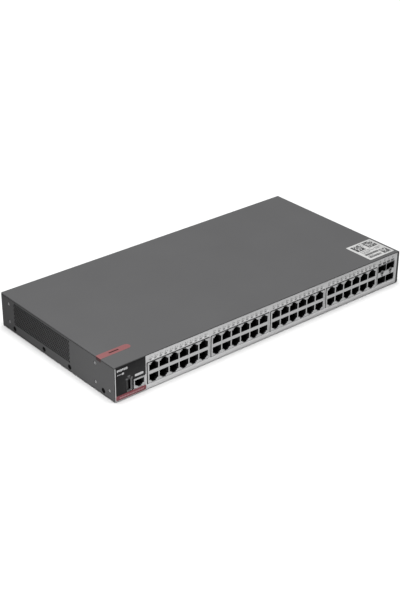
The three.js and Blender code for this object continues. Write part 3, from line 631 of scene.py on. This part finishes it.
def overlay():
    low, high = OVERLAY
    console = window(CONSOLE, "console", 0)
    left, top = console[0][0], console[2][1]
    outline = [(low.x, low.z), (left, low.z), (left, top), (high.x, top), (high.x, FILM_TOP),
               (low.x, FILM_TOP)]
    form = Form().plate(outline, [window(USB, "usb", 0.7)], high.y - low.y, front_plane(low.y), 0.06)
    # A flush black bar over the film, in the plate's notch: painted shade of the gap under the cover's
    # edge
    form.box((low.x, low.y + 0.1, FILM_TOP + 0.05), (high.x, plate_low.y + 0.9, plate_high.z), index=1)
    form.piece("front_film", [black_film, jack_plastic_and_shade], "black_overlay", replaces=["front_overlay"])


def bars(start, end, size, gap):
    """(left, right) of bars in a row, from start to past end. size() and gap() give lengths."""
    u = start
    while u < end:
        length = size()
        yield u, u + length
        u += length + gap()


ACCENT_BULGE = 0.25
ACCENT_MARGIN = 4
ACCENT_BAR = 0.75
BAR_GAP = 0.45


def accent():
    """The red strip's rounded section, with a row of paler bars in place of its printing."""
    low, high = ACCENT
    back = high.y - 0.05
    reach = high.y - low.y + ACCENT_BULGE
    steps = 12
    arc = []
    for i in range(steps + 1):
        t = i / steps
        arc.append((back - reach * math.sin(math.pi * t) ** 0.75, low.z + (high.z - low.z) * t))
    section = arc + [(high.y, high.z), (high.y, low.z)]
    form = Form().rings([[(x, y, z) for y, z in section] for x in (low.x, high.x)])
    rng = random.Random(5)
    middle = (low.z + high.z) / 2
    for left, right in bars(low.x + ACCENT_MARGIN, high.x - ACCENT_MARGIN,
                            lambda: rng.uniform(1.2, 3.4), lambda: BAR_GAP):
        form.plate(rectangle(left, middle - ACCENT_BAR, min(right, high.x - 3),
                             middle + ACCENT_BAR, 0.3, 2),
                   [], 0.06, front_plane(back - reach), index=1)
    form.piece("accent_moulding", [red_film, pale_red], "red_print", replaces=["accent_strip"])


# Printing on the film. Rows are foot, top and length. Marks are left, foot, right, top and radius,
# the round one from PRINT_LEFT and the others from their port's upper left corner.
FILM_INK = 0.04
PRINT_LEFT = OVERLAY[0].x + 1.8
LONG_ROW = (36.3, 39.1, 13.9)
SHORT_ROW = (32.1, 33.1, 5.5)
ROUND_MARK = (6.3, 31.5, 9.0, 33.8, 0.9)
CONSOLE_MARK = (1.0, 3.6, 12.6, 6.4, 1.2)
SYMBOL = [(0.9, 2.8, 4.7, 4.9, 0.9), (-1.7, 0.2, 1.3, 2.0, 0.8), (5.1, 0.2, 8.0, 2.0, 0.8),
          (2.5, 0.8, 3.5, 3.0, 0.0)]


def printed_marks():
    """Plain marks in place of the printing: bars, dots and a plug symbol made of strokes."""
    plane = front_plane(OVERLAY[0].y - FILM_INK / 2)
    form = Form()
    rng = random.Random(7)

    def mark(form, x, z, shape, steps=3):
        u0, v0, u1, v1, radius = shape
        form.plate(rectangle(x + u0, z + v0, x + u1, z + v1, radius, steps), [], FILM_INK, plane)

    foot, top, length = LONG_ROW
    for left, right in bars(PRINT_LEFT, PRINT_LEFT + length,
                            lambda: rng.choice((0.9, 1.3, 1.7)), lambda: 0.4):
        drop = rng.choice((0.0, 0.0, 0.5))
        mark(form, 0, 0, (left, foot + drop, right, top, 0.3), 2)
    foot, top, length = SHORT_ROW
    for left, right in bars(PRINT_LEFT, PRINT_LEFT + length,
                            lambda: rng.choice((0.6, 0.9)), lambda: 0.4):
        mark(form, 0, 0, (left, foot, right, top, 0.0))
    mark(form, PRINT_LEFT, 0, ROUND_MARK)
    mark(form, CONSOLE[0].x, CONSOLE[1].z, CONSOLE_MARK, 4)
    form.piece("printed_marks", [white_ink], "white_label")
    dull = Form()
    for shape in SYMBOL:
        mark(dull, USB[0].x, USB[1].z, shape)
    dull.piece("port_symbol", [grey_symbol], "black_overlay")


# ---------- jacks ----------

SHIELD = 0.4
SHIELD_FACE = 0.35
CONSOLE_JACK = (CONSOLE[1].x - 7.6, CONSOLE[1].z - 2.0, -1)
CONSOLE_HEIGHT = 6.4
CONSOLE_WALL = 0.8
CONSOLE_FACE = 0.5

# Contact wires. The path's points are back from the front end, and in from the opening's base.
WIRES = 8
WIRE_PITCH = 1.02
WIRE_WIDTH = 0.42
WIRE_THICK = 0.22
WIRE_PATH = [(0.0, 0.25), (2.2, 0.35), (6.2, 2.6), (7.6, 2.7), (9.2, 0.6)]
WIRE_SETBACK = 7.0


def contacts(name, jacks, front):
    """Eight sprung contact wires in each jack, along the side away from the latch."""
    form = Form()
    for x, base, sign in jacks:
        for i in range(WIRES):
            left = x + (i - (WIRES - 1) / 2) * WIRE_PITCH - WIRE_WIDTH / 2
            loops = []
            for y, z in WIRE_PATH:
                foot = base + sign * z
                wire = rectangle(left, foot, left + WIRE_WIDTH, foot + sign * WIRE_THICK)
                loops.append([(u, front + y, v) for u, v in wire])
            form.rings(loops)
    # The wires' gold is darkened as painted shade
    form.piece(name, [contact_gold_in_shade], "contact_brass")


def jack_block(number):
    box = low, high = BLOCKS[number - 1]
    openings = [jack_outline(*jack) for jack in jacks_of(box)]
    outline = rectangle(low.x, low.z, high.x, high.z - SHIELD_DROP, 0.9)
    inside = rectangle(low.x + SHIELD, low.z + SHIELD, high.x - SHIELD, high.z - SHIELD_DROP - 0.1, 0.5)
    form = Form().plate(outline, openings, SHIELD_FACE, front_plane(low.y), 0.1)
    # The shield's walls behind its face, in painted shade
    form.plate(outline, [inside], high.y - low.y - SHIELD_FACE, front_plane(low.y + SHIELD_FACE), index=1)
    form.piece(f"jack_frame_{number}", [shield_tin, shaded_shield_tin], "shield_steel",
               replaces=[f"jack_shield_{number}"])
    contacts(f"jack_contacts_{number}", jacks_of(box), low.y + WIRE_SETBACK)


def inset(low, high, distance, radius):
    """The outline of a box seen from the front, drawn in by a distance."""
    return rectangle(low.x + distance, low.z + distance, high.x - distance, high.z - distance, radius)


def console_port():
    low, high = CONSOLE
    outline = inset(low, high, 0, 0.5)
    opening = jack_outline(*CONSOLE_JACK, height=CONSOLE_HEIGHT)
    form = Form().plate(outline, [opening], CONSOLE_FACE, front_plane(low.y), 0.12)
    # The walls behind the face, in painted shade
    form.plate(outline, [inset(low, high, CONSOLE_WALL, 0.3)], high.y - low.y - CONSOLE_FACE,
               front_plane(low.y + CONSOLE_FACE), index=1)
    form.piece("console_frame", [shield_tin, shaded_shield_tin], "shield_steel",
               replaces=["console_jack_shield"])
    contacts("console_contacts", [CONSOLE_JACK], low.y + WIRE_SETBACK)


USB_WALL = 0.28
USB_RIM = 0.2
USB_BACK = 0.4
USB_FRONT = plate_low.y + 0.05
USB_SHADE_SETBACK = 2.2


def usb_port():
    low, high = USB
    form = Form()
    form.plate(inset(low, high, -USB_RIM, 0.7), [inset(low, high, USB_WALL, 0.55)],
               high.y - USB_FRONT - USB_BACK, front_plane(USB_FRONT), 0.05)
    form.plate(inset(low, high, USB_RIM, 0), [], USB_BACK, front_plane(high.y - USB_BACK))
    # Two sprung tabs on the right wall, drawn black as painted shade
    for z in (low.z + 2.8, high.z - 4.8):
        form.box((high.x - USB_WALL - 0.6, USB_FRONT + 2, z),
                 (high.x - USB_WALL + 0.1, USB_FRONT + 7, z + 2), bevel=0.15, index=1)
    # A black lining further in, painted shade of the inside of the shell
    form.plate(inset(low, high, USB_RIM, 0.6), [inset(low, high, USB_WALL + 0.1, 0.5)],
               high.y - USB_FRONT - USB_SHADE_SETBACK - 0.5,
               front_plane(USB_FRONT + USB_SHADE_SETBACK), index=1)
    form.piece("usb_shell", [lug_steel, jack_plastic_and_shade], "shield_steel", replaces=["usb_port_shell"])

    low, high = node_box("usb_port_tongue")
    form = Form().box(low, high, bevel=0.25)
    for i in range(4):
        z = low.z + 2.0 + i * 2.2
        form.box((low.x - 0.12, low.y + 0.8, z), (low.x + 0.02, high.y - 1, z + 1.1), bevel=0.04, index=1)
    form.piece("usb_tongue", [black_plastic, gold], "black_plastic", replaces=["usb_port_tongue"])


# ---------- module cage ----------

BAY_WIDTH = 14.0
BAY_HEIGHT = 9.0
BAY_X = [CAGE[0].x + offset for offset in (7.5, 21.95)]
BAY_Z = (12.0, 27.7)
CAGE_FACE = 0.4

# Between the rows, each pair of bays has a small and a large latch hole, with a lug round each.
# Each is a height and a radius.
LATCHES = [(18.2, 0.9), (21.3, 1.5)]
LATCH_SHIFT = 0.5
LUG_HALF = 2.8
LUG_Z = (19.6, 25.1)

# The hollow between the rows
HOLLOW = rectangle(CAGE[0].x + 1, 17.4, CAGE[1].x - 1, 22.4)

# A sprung tab in each bay, on its side towards the other row: back from the front, and inwards
TAB_PATH = ((2.5, 0.0), (7.0, 0.9), (10.0, 1.0))
TAB_HALF = 2.6
TAB_THICK = 0.3
BAY_SHADE_DEPTH = 28.0


def bay(x, z, growth=0.0):
    """The outline of the module bay with its middle at x, z."""
    return around(x, z, BAY_WIDTH / 2 + growth, BAY_HEIGHT / 2 + growth, 0.4, 2)


def cage_shell():
    low, high = CAGE
    bays = [bay(x, z) for x in BAY_X for z in BAY_Z]
    latches = [ngon(x + LATCH_SHIFT, z, radius + 0.15, 20) for x in BAY_X for z, radius in LATCHES]
    outline = inset(low, high, 0, 0.5)
    form = Form().plate(outline, bays + latches, CAGE_FACE, front_plane(low.y), 0.1)
    # The cage's walls behind its face, and its tabs, are in painted shade
    form.plate(outline, bays + [HOLLOW], high.y - low.y - CAGE_FACE,
               front_plane(low.y + CAGE_FACE), index=1)
    for x in BAY_X:
        for z, sign in ((BAY_Z[0] + BAY_HEIGHT / 2, -1), (BAY_Z[1] - BAY_HEIGHT / 2, 1)):
            loops = []
            for y, lean in TAB_PATH:
                base = z + sign * lean
                tab = rectangle(x - TAB_HALF, base, x + TAB_HALF, base - sign * TAB_THICK)
                loops.append([(u, low.y + y, v) for u, v in tab])
            form.rings(loops, index=1)
    form.piece("cage_shell", [shield_tin, shaded_shield_tin], "shield_steel", replaces=["module_cage"])


# Black linings in the module bays, and a black sheet behind the hollow between the rows: painted shade of
# the cage's inside
def bay_shade_linings():
    front = CAGE[0].y
    form = Form()
    for x in BAY_X:
        for z in BAY_Z:
            form.plate(bay(x, z, 0.02), [bay(x, z, -0.12)], BAY_SHADE_DEPTH, front_plane(front + 0.15))
    form.plate(HOLLOW, [], 0.3, front_plane(front + CAGE_FACE + 0.2))
    form.piece("bay_shade_linings", [jack_plastic_and_shade], "black_plastic")


def cage_lugs():
    """The lugs round the latch holes, and a dark strip over the upper bays."""
    low, high = CAGE
    form = Form()
    plane = front_plane(low.y - 0.25)
    (small_z, small), (large_z, large) = LATCHES
    for x in BAY_X:
        u = x + LATCH_SHIFT
        form.plate(ngon(u, small_z, small + 0.3, 24), [ngon(u, small_z, small, 20)], 0.4, plane, 0.1)
        tongue = rectangle(u - LUG_HALF, LUG_Z[0], u + LUG_HALF, LUG_Z[1], 2.4, 5)
        form.plate(tongue, [ngon(u, large_z, large, 20)], 0.4, plane, 0.1)
    form.plate(rectangle(low.x + 0.4, BAY_Z[1] + BAY_HEIGHT / 2 + 0.02, high.x - 0.4,
                         high.z + 0.25, 0.3, 2), [], 0.3, plane, index=1)
    form.piece("cage_lugs", [lug_steel, grey_symbol], "shield_steel")


# ---------- labels ----------

# The sticker's printing, from its low corner: squares are left, foot, size and cells a side, code
# rows are foot, top, left, right and the widths of their bars, and lines are foot, left and right
CODE_SQUARES = [(4.0, 24.8, 14.4, 12), (24.4, 25.0, 14.6, 12), (28.2, 2.8, 11.4, 10)]
CODE_ROWS = [(11.0, 14.8, 4.2, 25.4, (1.2, 1.6, 2.2)), (3.6, 7.6, 4.2, 24.2, (0.7, 0.9, 1.3))]
LINES = [(39.0, 19.8, 23.4), (36.0, 19.8, 22.8), (33.0, 19.8, 23.6), (21.8, 4.9, 22.6),
         (18.8, 4.9, 26.6), (16.4, 4.9, 16.6), (20.6, 28.6, 38.6), (18.0, 28.6, 35.6),
         (8.6, 5.0, 14.6)]
LINE_HEIGHT = 1.1
DARK_SHARE = 0.68


def code_square(form, u, v, size, cells, rng):
    """A square of random cells with a solid border on two sides, like no real code."""
    step = size / cells
    plane = top_plane(STICKER[1].z + 0.02)
    for row in range(cells):
        run = None
        for column in range(cells + 1):
            dark = column < cells and (row == 0 or column == 0 or rng.random() < DARK_SHARE)
            if dark and run is None:
                run = column
            elif not dark and run is not None:
                form.plate(rectangle(u + run * step, v + row * step, u + column * step,
                                     v + (row + 1) * step), [], INK, plane, index=1)
                run = None


def info_sticker():
    low, high = STICKER
    form = Form().plate(rectangle(low.x, low.y, high.x, high.y, 1.2), [], high.z - low.z,
                        top_plane(high.z), 0.03)
    rng = random.Random(11)
    for u, v, size, cells in CODE_SQUARES:
        code_square(form, low.x + u, low.y + v, size, cells, rng)
    plane = top_plane(high.z + 0.02)
    for foot, top, u0, u1, widths in CODE_ROWS:
        for left, right in bars(low.x + u0, low.x + u1, lambda: rng.choice(widths),
                                lambda: rng.choice((0.3, 0.35, 0.45))):
            form.plate(rectangle(left, low.y + foot, right, low.y + top), [], INK, plane, index=1)
    for foot, u0, u1 in LINES:
        end = low.x + u1
        for left, right in bars(low.x + u0, end, lambda: rng.uniform(0.7, 1.9),
                                lambda: BAR_GAP):
            form.plate(rectangle(left, low.y + foot, min(right, end), low.y + foot + LINE_HEIGHT),
                       [], INK, plane, index=1)
    form.piece("info_label", [white_paper, label_ink], "white_label", replaces=["info_sticker"])


LABEL_THICK = 0.09
FLAP_EXTRA = 2.2
FLAP_SHADE = 0.7
LABEL_BAR = (14.0, 3.8, 27.2, 5.7)


def corner_label():
    """Red film with a round end on the top, bent over the left edge. The bent part is darker, a painted
    shade.
    """
    low, high = node_box("corner_label")
    middle = (low.y + high.y) / 2
    half = (high.y - low.y) / 2
    bend_x, bend_z = -HALF_WIDTH + BEND, cover_high.z - BEND
    path = [(bend_x - BEND, low.z - FLAP_EXTRA)]
    steps = 6
    for i in range(steps + 1):
        angle = i / steps * math.pi / 2
        path.append((bend_x - BEND * math.cos(angle), bend_z + BEND * math.sin(angle)))
    end = high.x - half
    path.append((end, cover_high.z))
    steps = 9
    for i in range(1, steps):
        path.append((end + half * math.sin(i / steps * math.pi / 2), cover_high.z))
    loops = []
    for i, (x, z) in enumerate(path):
        angle = max(0.0, math.atan2(z - bend_z, bend_x - x)) if x < bend_x else math.pi / 2
        out_x, out_z = -math.cos(angle) * LABEL_THICK, math.sin(angle) * LABEL_THICK
        reach = half if x <= end else math.sqrt(max(0.02, half ** 2 - (x - end) ** 2))
        reach = reach - 0.3 if i == 0 else reach
        loops.append([(x, middle - reach, z), (x, middle + reach, z),
                      (x + out_x, middle + reach, z + out_z),
                      (x + out_x, middle - reach, z + out_z)])
    form = Form().rings(loops)
    # Below the fold, the flap takes painted shade
    for face in form.bm.faces:
        if face.calc_center_median().z < (cover_high.z - FLAP_SHADE) * MM:
            face.material_index = 1
    u0, v0, u1, v1 = LABEL_BAR
    form.plate(rectangle(low.x + u0, low.y + v0, low.x + u1, low.y + v1, 0.9), [], INK,
               top_plane(cover_high.z + LABEL_THICK + 0.02), index=1)
    form.piece("corner_tag", [red_label, red_print_and_shade], "red_print", replaces=["corner_label"])


# ---------- fasteners ----------

RECESS_DEPTH = 0.9
SCREW_HEAD = 3.0
SCREW_SINK = 0.25
GROUND_HEAD = 4.0


def cross_outline(reach, half):
    """A cross whose arms reach this far out and are this wide to each side."""
    arms = []
    for turn in range(4):
        angle = turn * math.pi / 2
        for a, b in ((half, -reach), (half, -half), (reach, -half)):
            arms.append((a * math.cos(angle) - b * math.sin(angle),
                         a * math.sin(angle) + b * math.cos(angle)))
    return arms


def cross_screw(name, plane, head, material, slot, replaces, dome=0.0):
    """A screw of radius head with a cross recess, whose face stands dome above the plane."""
    form = Form()
    recess = cross_outline(head * 0.55, head * 0.13)
    face = ngon(0, 0, head * 0.86, 32)
    outward = plane.to_3x3() @ Vector((0, 0, 1))
    centre = plane.translation / MM
    lift = plane @ Matrix.Translation((0, 0, dome * MM))
    form.plate(face, [recess], RECESS_DEPTH, lift)
    form.plate(face, [], 0.3, lift @ Matrix.Translation((0, 0, -RECESS_DEPTH * MM)))
    rim = [(head * 0.86, dome), (head * 0.96, dome - 0.1), (head, dome - 0.32),
           (head * 0.98, dome - 0.5), (head * 0.6, dome - 1.9), (head * 0.45, dome - 4.5)]
    form.lathe(rim, centre, outward, 32)
    form.piece(name, [material], slot, replaces=replaces)


INSERT_DEPTH = 4.0
INSERT_THREADS = 5
INSERT_STEP = 0.6


def side_fasteners():
    for side, word in ((-1, "left"), (1, "right")):
        for i, (y, z) in enumerate(SCREW_AT):
            plane = basis((0, side, 0), (0, 0, 1), (side * HALF_WIDTH, y, z))
            plane = plane @ Matrix.Rotation(0.4 + 0.7 * i, 4, "Z")
            plane = plane @ Matrix.Translation((0, 0, -SCREW_SINK * MM))
            cross_screw(f"side_screw_{word}_{i + 1}", plane, SCREW_HEAD, black_steel,
                        "black_screw", [f"cover_screw_{word}_{i + 1}"])
        for i, (y, z) in enumerate(INSERT_AT):
            # Round the flange behind the wall, over the rim and down the thread
            profile = [(1.5, -INSERT_DEPTH), (3.3, -INSERT_DEPTH), (3.3, -1.1), (1.75, -1.1),
                       (1.75, -0.45), (1.6, -0.3), (1.35, -0.3), (1.2, -0.5)]
            for thread in range(INSERT_THREADS):
                along = -0.7 - thread * INSERT_STEP
                profile += [(1.1, along), (1.3, along - INSERT_STEP / 2)]
            form = Form()
            form.lathe(profile + [profile[0]], (side * HALF_WIDTH, y, z), (side, 0, 0), 24)
            form.piece(f"threaded_insert_{word}_{i + 1}", [dull_zinc], "zinc_steel",
                       replaces=[f"rack_insert_{word}_{i + 1}"])


def ground_point():
    low, high = node_box("ground_screw")
    x, z = (low.x + high.x) / 2, (low.z + high.z) / 2
    plane = basis((-1, 0, 0), (0, 0, 1), (x, tray_high.y, z))
    cross_screw("earth_screw", plane, GROUND_HEAD, zinc, "contact_brass", ["ground_screw"], dome=1.5)


# ---------- fans ----------

FAN_HOLE_AT = 16
FAN_HOLE = 1.8
FAN_BORE = 18.6
FAN_RING = 19.8
FAN_FLANGE = 3.0
HUB_RADIUS = 11.2
SHAFT_HOLE = 1.62
SPOKES = 4


def fan_housing(i):
    """Two square flanges joined by a ring, and a hub on spokes at the outer face."""
    low, high = node_box(f"fan_frame_{i}")
    y, z = middle_yz((low, high))
    plane = basis((0, 1, 0), (0, 0, 1), (high.x, 0, 0))
    behind = plane @ Matrix.Translation((0, 0, -FAN_FLANGE * MM))
    far = plane @ Matrix.Translation((0, 0, (low.x + FAN_FLANGE - high.x) * MM))
    ends = (-FAN_HOLE_AT, FAN_HOLE_AT)
    corners = [ngon(y + a, z + b, FAN_HOLE, 16) for a in ends for b in ends]
    square = rectangle(low.y, low.z, high.y, high.z, 3.2, 5)
    bore = ngon(y, z, FAN_BORE, 48)
    form = Form()
    form.plate(square, [bore] + corners, FAN_FLANGE, plane, 0.3)
    form.plate(ngon(y, z, FAN_RING, 48), [bore], high.x - low.x - 2 * FAN_FLANGE, behind)
    form.plate(square, [bore] + corners, FAN_FLANGE, far, 0.3)
    form.plate(ngon(y, z, HUB_RADIUS, 40), [ngon(y, z, SHAFT_HOLE, 20)], 2.8, plane, 0.3)
    start, end, half = HUB_RADIUS - 0.4, FAN_BORE + 0.3, 1.1
    for k in range(SPOKES):
        angle = (k + 0.5) * 2 * math.pi / SPOKES
        cos, sin = math.cos(angle), math.sin(angle)
        spoke = [(y + a * cos - b * sin, z + a * sin + b * cos)
                 for a, b in ((start, -half), (end, -half), (end, half), (start, half))]
        form.plate(spoke, [], 2.6, plane, 0.2)
    form.piece(f"fan_housing_{i}", [black_plastic], "fan_plastic", replaces=[f"fan_frame_{i}"])


HUB_DEPTH = 14.7
SHAFT = 1.5
BLADES = 7
BLADE_ROOT = 10.9
BLADE_TIP = 17.5
BLADE_ROWS = 7
BLADE_POINTS = 9


def blade_section(t):
    """(along the shaft, swing about it), in mm, of a twisted blade's outline at t of its span."""
    pitch = math.radians(58 - 16 * t)
    half = 6.6 + 1.0 * t
    points = []
    for side in (1, -1):
        for k in range(BLADE_POINTS):
            if side < 0 and k in (0, BLADE_POINTS - 1):
                continue
            s = k / (BLADE_POINTS - 1) if side > 0 else 1 - k / (BLADE_POINTS - 1)
            bow = 1 - (2 * s - 1) ** 2
            along = (s - 0.5) * 2 * half
            across = 1.2 * bow + 0.55 * math.sqrt(max(0.02, bow)) * side
            points.append((along * math.sin(pitch) + across * math.cos(pitch),
                           along * math.cos(pitch) - across * math.sin(pitch) + 2.5 * t * t))
    return points


def fan_impeller(i):
    low, high = node_box(f"fan_rotor_{i}")
    y, z = middle_yz(node_box(f"fan_frame_{i}"))
    shaft_end = high.x - low.x
    floor = HUB_DEPTH - 1.2
    profile = [(0.0, 0.0), (9.6, 0.0), (10.8, 0.4), (HUB_RADIUS, 1.4), (HUB_RADIUS, HUB_DEPTH),
               (9.8, HUB_DEPTH), (9.8, floor), (SHAFT, floor), (SHAFT, shaft_end),
               (0.0, shaft_end)]
    form = Form().lathe(profile, (low.x, y, z), (1, 0, 0), 40)
    for blade in range(BLADES):
        loops = []
        for row in range(BLADE_ROWS):
            t = row / (BLADE_ROWS - 1)
            radius = BLADE_ROOT + t * (BLADE_TIP - BLADE_ROOT)
            loop = []
            for axial, swing in blade_section(t):
                angle = 2 * math.pi * blade / BLADES + swing / radius
                loop.append((low.x + HUB_DEPTH / 2 + axial * 0.92, y + radius * math.cos(angle),
                             z + radius * math.sin(angle)))
            loops.append(loop)
        form.rings(loops)
    form.piece(f"fan_impeller_{i}", [black_plastic], "fan_plastic", body=f"rotor_{i}",
               replaces=[f"fan_rotor_{i}"])


# ---------- CAD nodes that keep their shape ----------


def dress(name, material, bevel=0.0):
    """Gives a CAD node its finish, and softens its edges with a modifier."""
    obj = nodes[name]
    obj.data.materials.clear()
    obj.data.materials.append(material)
    if bevel:
        soften = obj.modifiers.new("soft_edges", "BEVEL")
        soften.width = bevel * MM
        soften.segments = 2
        soften.limit_method = "ANGLE"
        soften.angle_limit = math.radians(40)


def dress_nodes():
    dress("base_tray", grey_paint)
    dress("fan_bracket", tray_zinc)
    dress("main_board", board_green)
    dress("psu_board", shaded_board_tan)
    for name in ("switch_heatsink", "phy_heatsink_left", "phy_heatsink_right"):
        dress(name, alloy, 0.15)
    # The PSU heatsink takes the near-black sleeve finish as painted shade for the inside seen through the
    # vents
    dress("psu_heatsink", sleeve, 0.15)
    dress("psu_transformer_core", ferrite, 0.4)
    dress("psu_transformer_winding", shaded_tape, 0.3)
    dress("psu_capacitor", sleeve)
    dress("mains_inlet", black_plastic, 0.35)
    for word in ("line", "neutral", "earth"):
        dress(f"mains_blade_{word}", zinc, 0.3)
    for name in ("console_jack_housing", *(f"jack_housing_{i}" for i in (1, 2, 3, 4))):
        dress(name, jack_plastic_and_shade)
    for side in ("left", "right"):
        dress(f"module_connector_{side}", black_plastic)


# ---------- stage, in metres and degrees ----------

CAMERA_AZIMUTH = -40.12
CAMERA_ELEVATION = 28.25
CAMERA_ROLL = 0.32
CAMERA_DISTANCE = 1.5644
CAMERA_SHIFT_RIGHT = -0.0079
CAMERA_SHIFT_UP = -0.0160
CAMERA_LENS = 77.7
TARGET_HEIGHT = 0.022
FLOOR_REACH = 40
FLOOR_DROP = 0.0002
FILL_STRENGTH = 0.08
SUN_POWER = 8.5
SUN_SIZE = 40
KEY_TARGET = (-0.22, -0.1, 0.02)


def direction(azimuth, elevation):
    """From the object outwards. Azimuth 0 is straight in front, and 90 is the right side."""
    a, e = math.radians(azimuth), math.radians(elevation)
    return Vector((math.sin(a) * math.cos(e), -math.cos(a) * math.cos(e), math.sin(e)))


def camera():
    back = direction(CAMERA_AZIMUTH, CAMERA_ELEVATION)
    right = direction(CAMERA_AZIMUTH + 90, 0)
    up = back.cross(right)
    data = bpy.data.cameras.new("camera")
    data.sensor_width = 36
    data.sensor_fit = "AUTO"
    data.lens = CAMERA_LENS
    obj = new_object("camera", data)
    place = (Vector((0, 0, TARGET_HEIGHT)) + right * CAMERA_SHIFT_RIGHT + up * CAMERA_SHIFT_UP
             + back * CAMERA_DISTANCE)
    turn = Matrix((right, up, back)).transposed().to_4x4()
    turn = turn @ Matrix.Rotation(math.radians(CAMERA_ROLL), 4, "Z")
    obj.matrix_world = Matrix.Translation(place) @ turn
    bpy.context.scene.camera = obj


def spot_light(name, azimuth, elevation, distance, cone, power, target):
    """A soft-edged lamp that stands at a distance from target and faces it."""
    data = bpy.data.lights.new(name, "SPOT")
    data.spot_size = math.radians(cone)
    data.spot_blend = 1.0
    data.shadow_soft_size = 0.1
    data.energy = power
    obj = new_object(name, data)
    way = direction(azimuth, elevation)
    obj.location = Vector(target) + way * distance
    obj.rotation_euler = way.to_track_quat("Z", "Y").to_euler()


def stage():
    edge = FLOOR_REACH / MM
    floor = Form().rings([[(-edge, y, 0), (edge, y, 0)] for y in (-edge, edge)], closed=False,
                         caps=False)
    mesh = bpy.data.meshes.new("floor")
    floor.bm.to_mesh(mesh)
    floor.bm.free()
    mesh.materials.append(surface("floor_paper", (0.64, 0.64, 0.64), 0.9, tint=0.005, patch=3,
                                  grain=1200, height=0.02))
    obj = new_object("floor", mesh)
    obj.location.z = -FLOOR_DROP
    world = bpy.data.worlds.new("studio")
    bpy.context.scene.world = world
    world.use_nodes = True
    background = world.node_tree.nodes["Background"]
    background.inputs["Color"].default_value = (1, 1, 1, 1)
    background.inputs["Strength"].default_value = FILL_STRENGTH
    sun = bpy.data.lights.new("overhead", "SUN")
    sun.energy = SUN_POWER
    sun.angle = math.radians(SUN_SIZE)
    new_object("overhead", sun)
    spot_light("key", azimuth=-68, elevation=8, distance=1.0, cone=23, power=52.0, target=KEY_TARGET)
    bpy.context.scene.view_settings.view_transform = "Standard"


camera()
stage()
cover()
front_panel()
status_lenses()
port_gap_shade()
port_figures()
overlay()
accent()
printed_marks()
for number in (1, 2, 3, 4):
    jack_block(number)
console_port()
usb_port()
cage_shell()
bay_shade_linings()
cage_lugs()
info_sticker()
corner_label()
side_fasteners()
ground_point()
for number in (1, 2):
    fan_housing(number)
    fan_impeller(number)
dress_nodes()
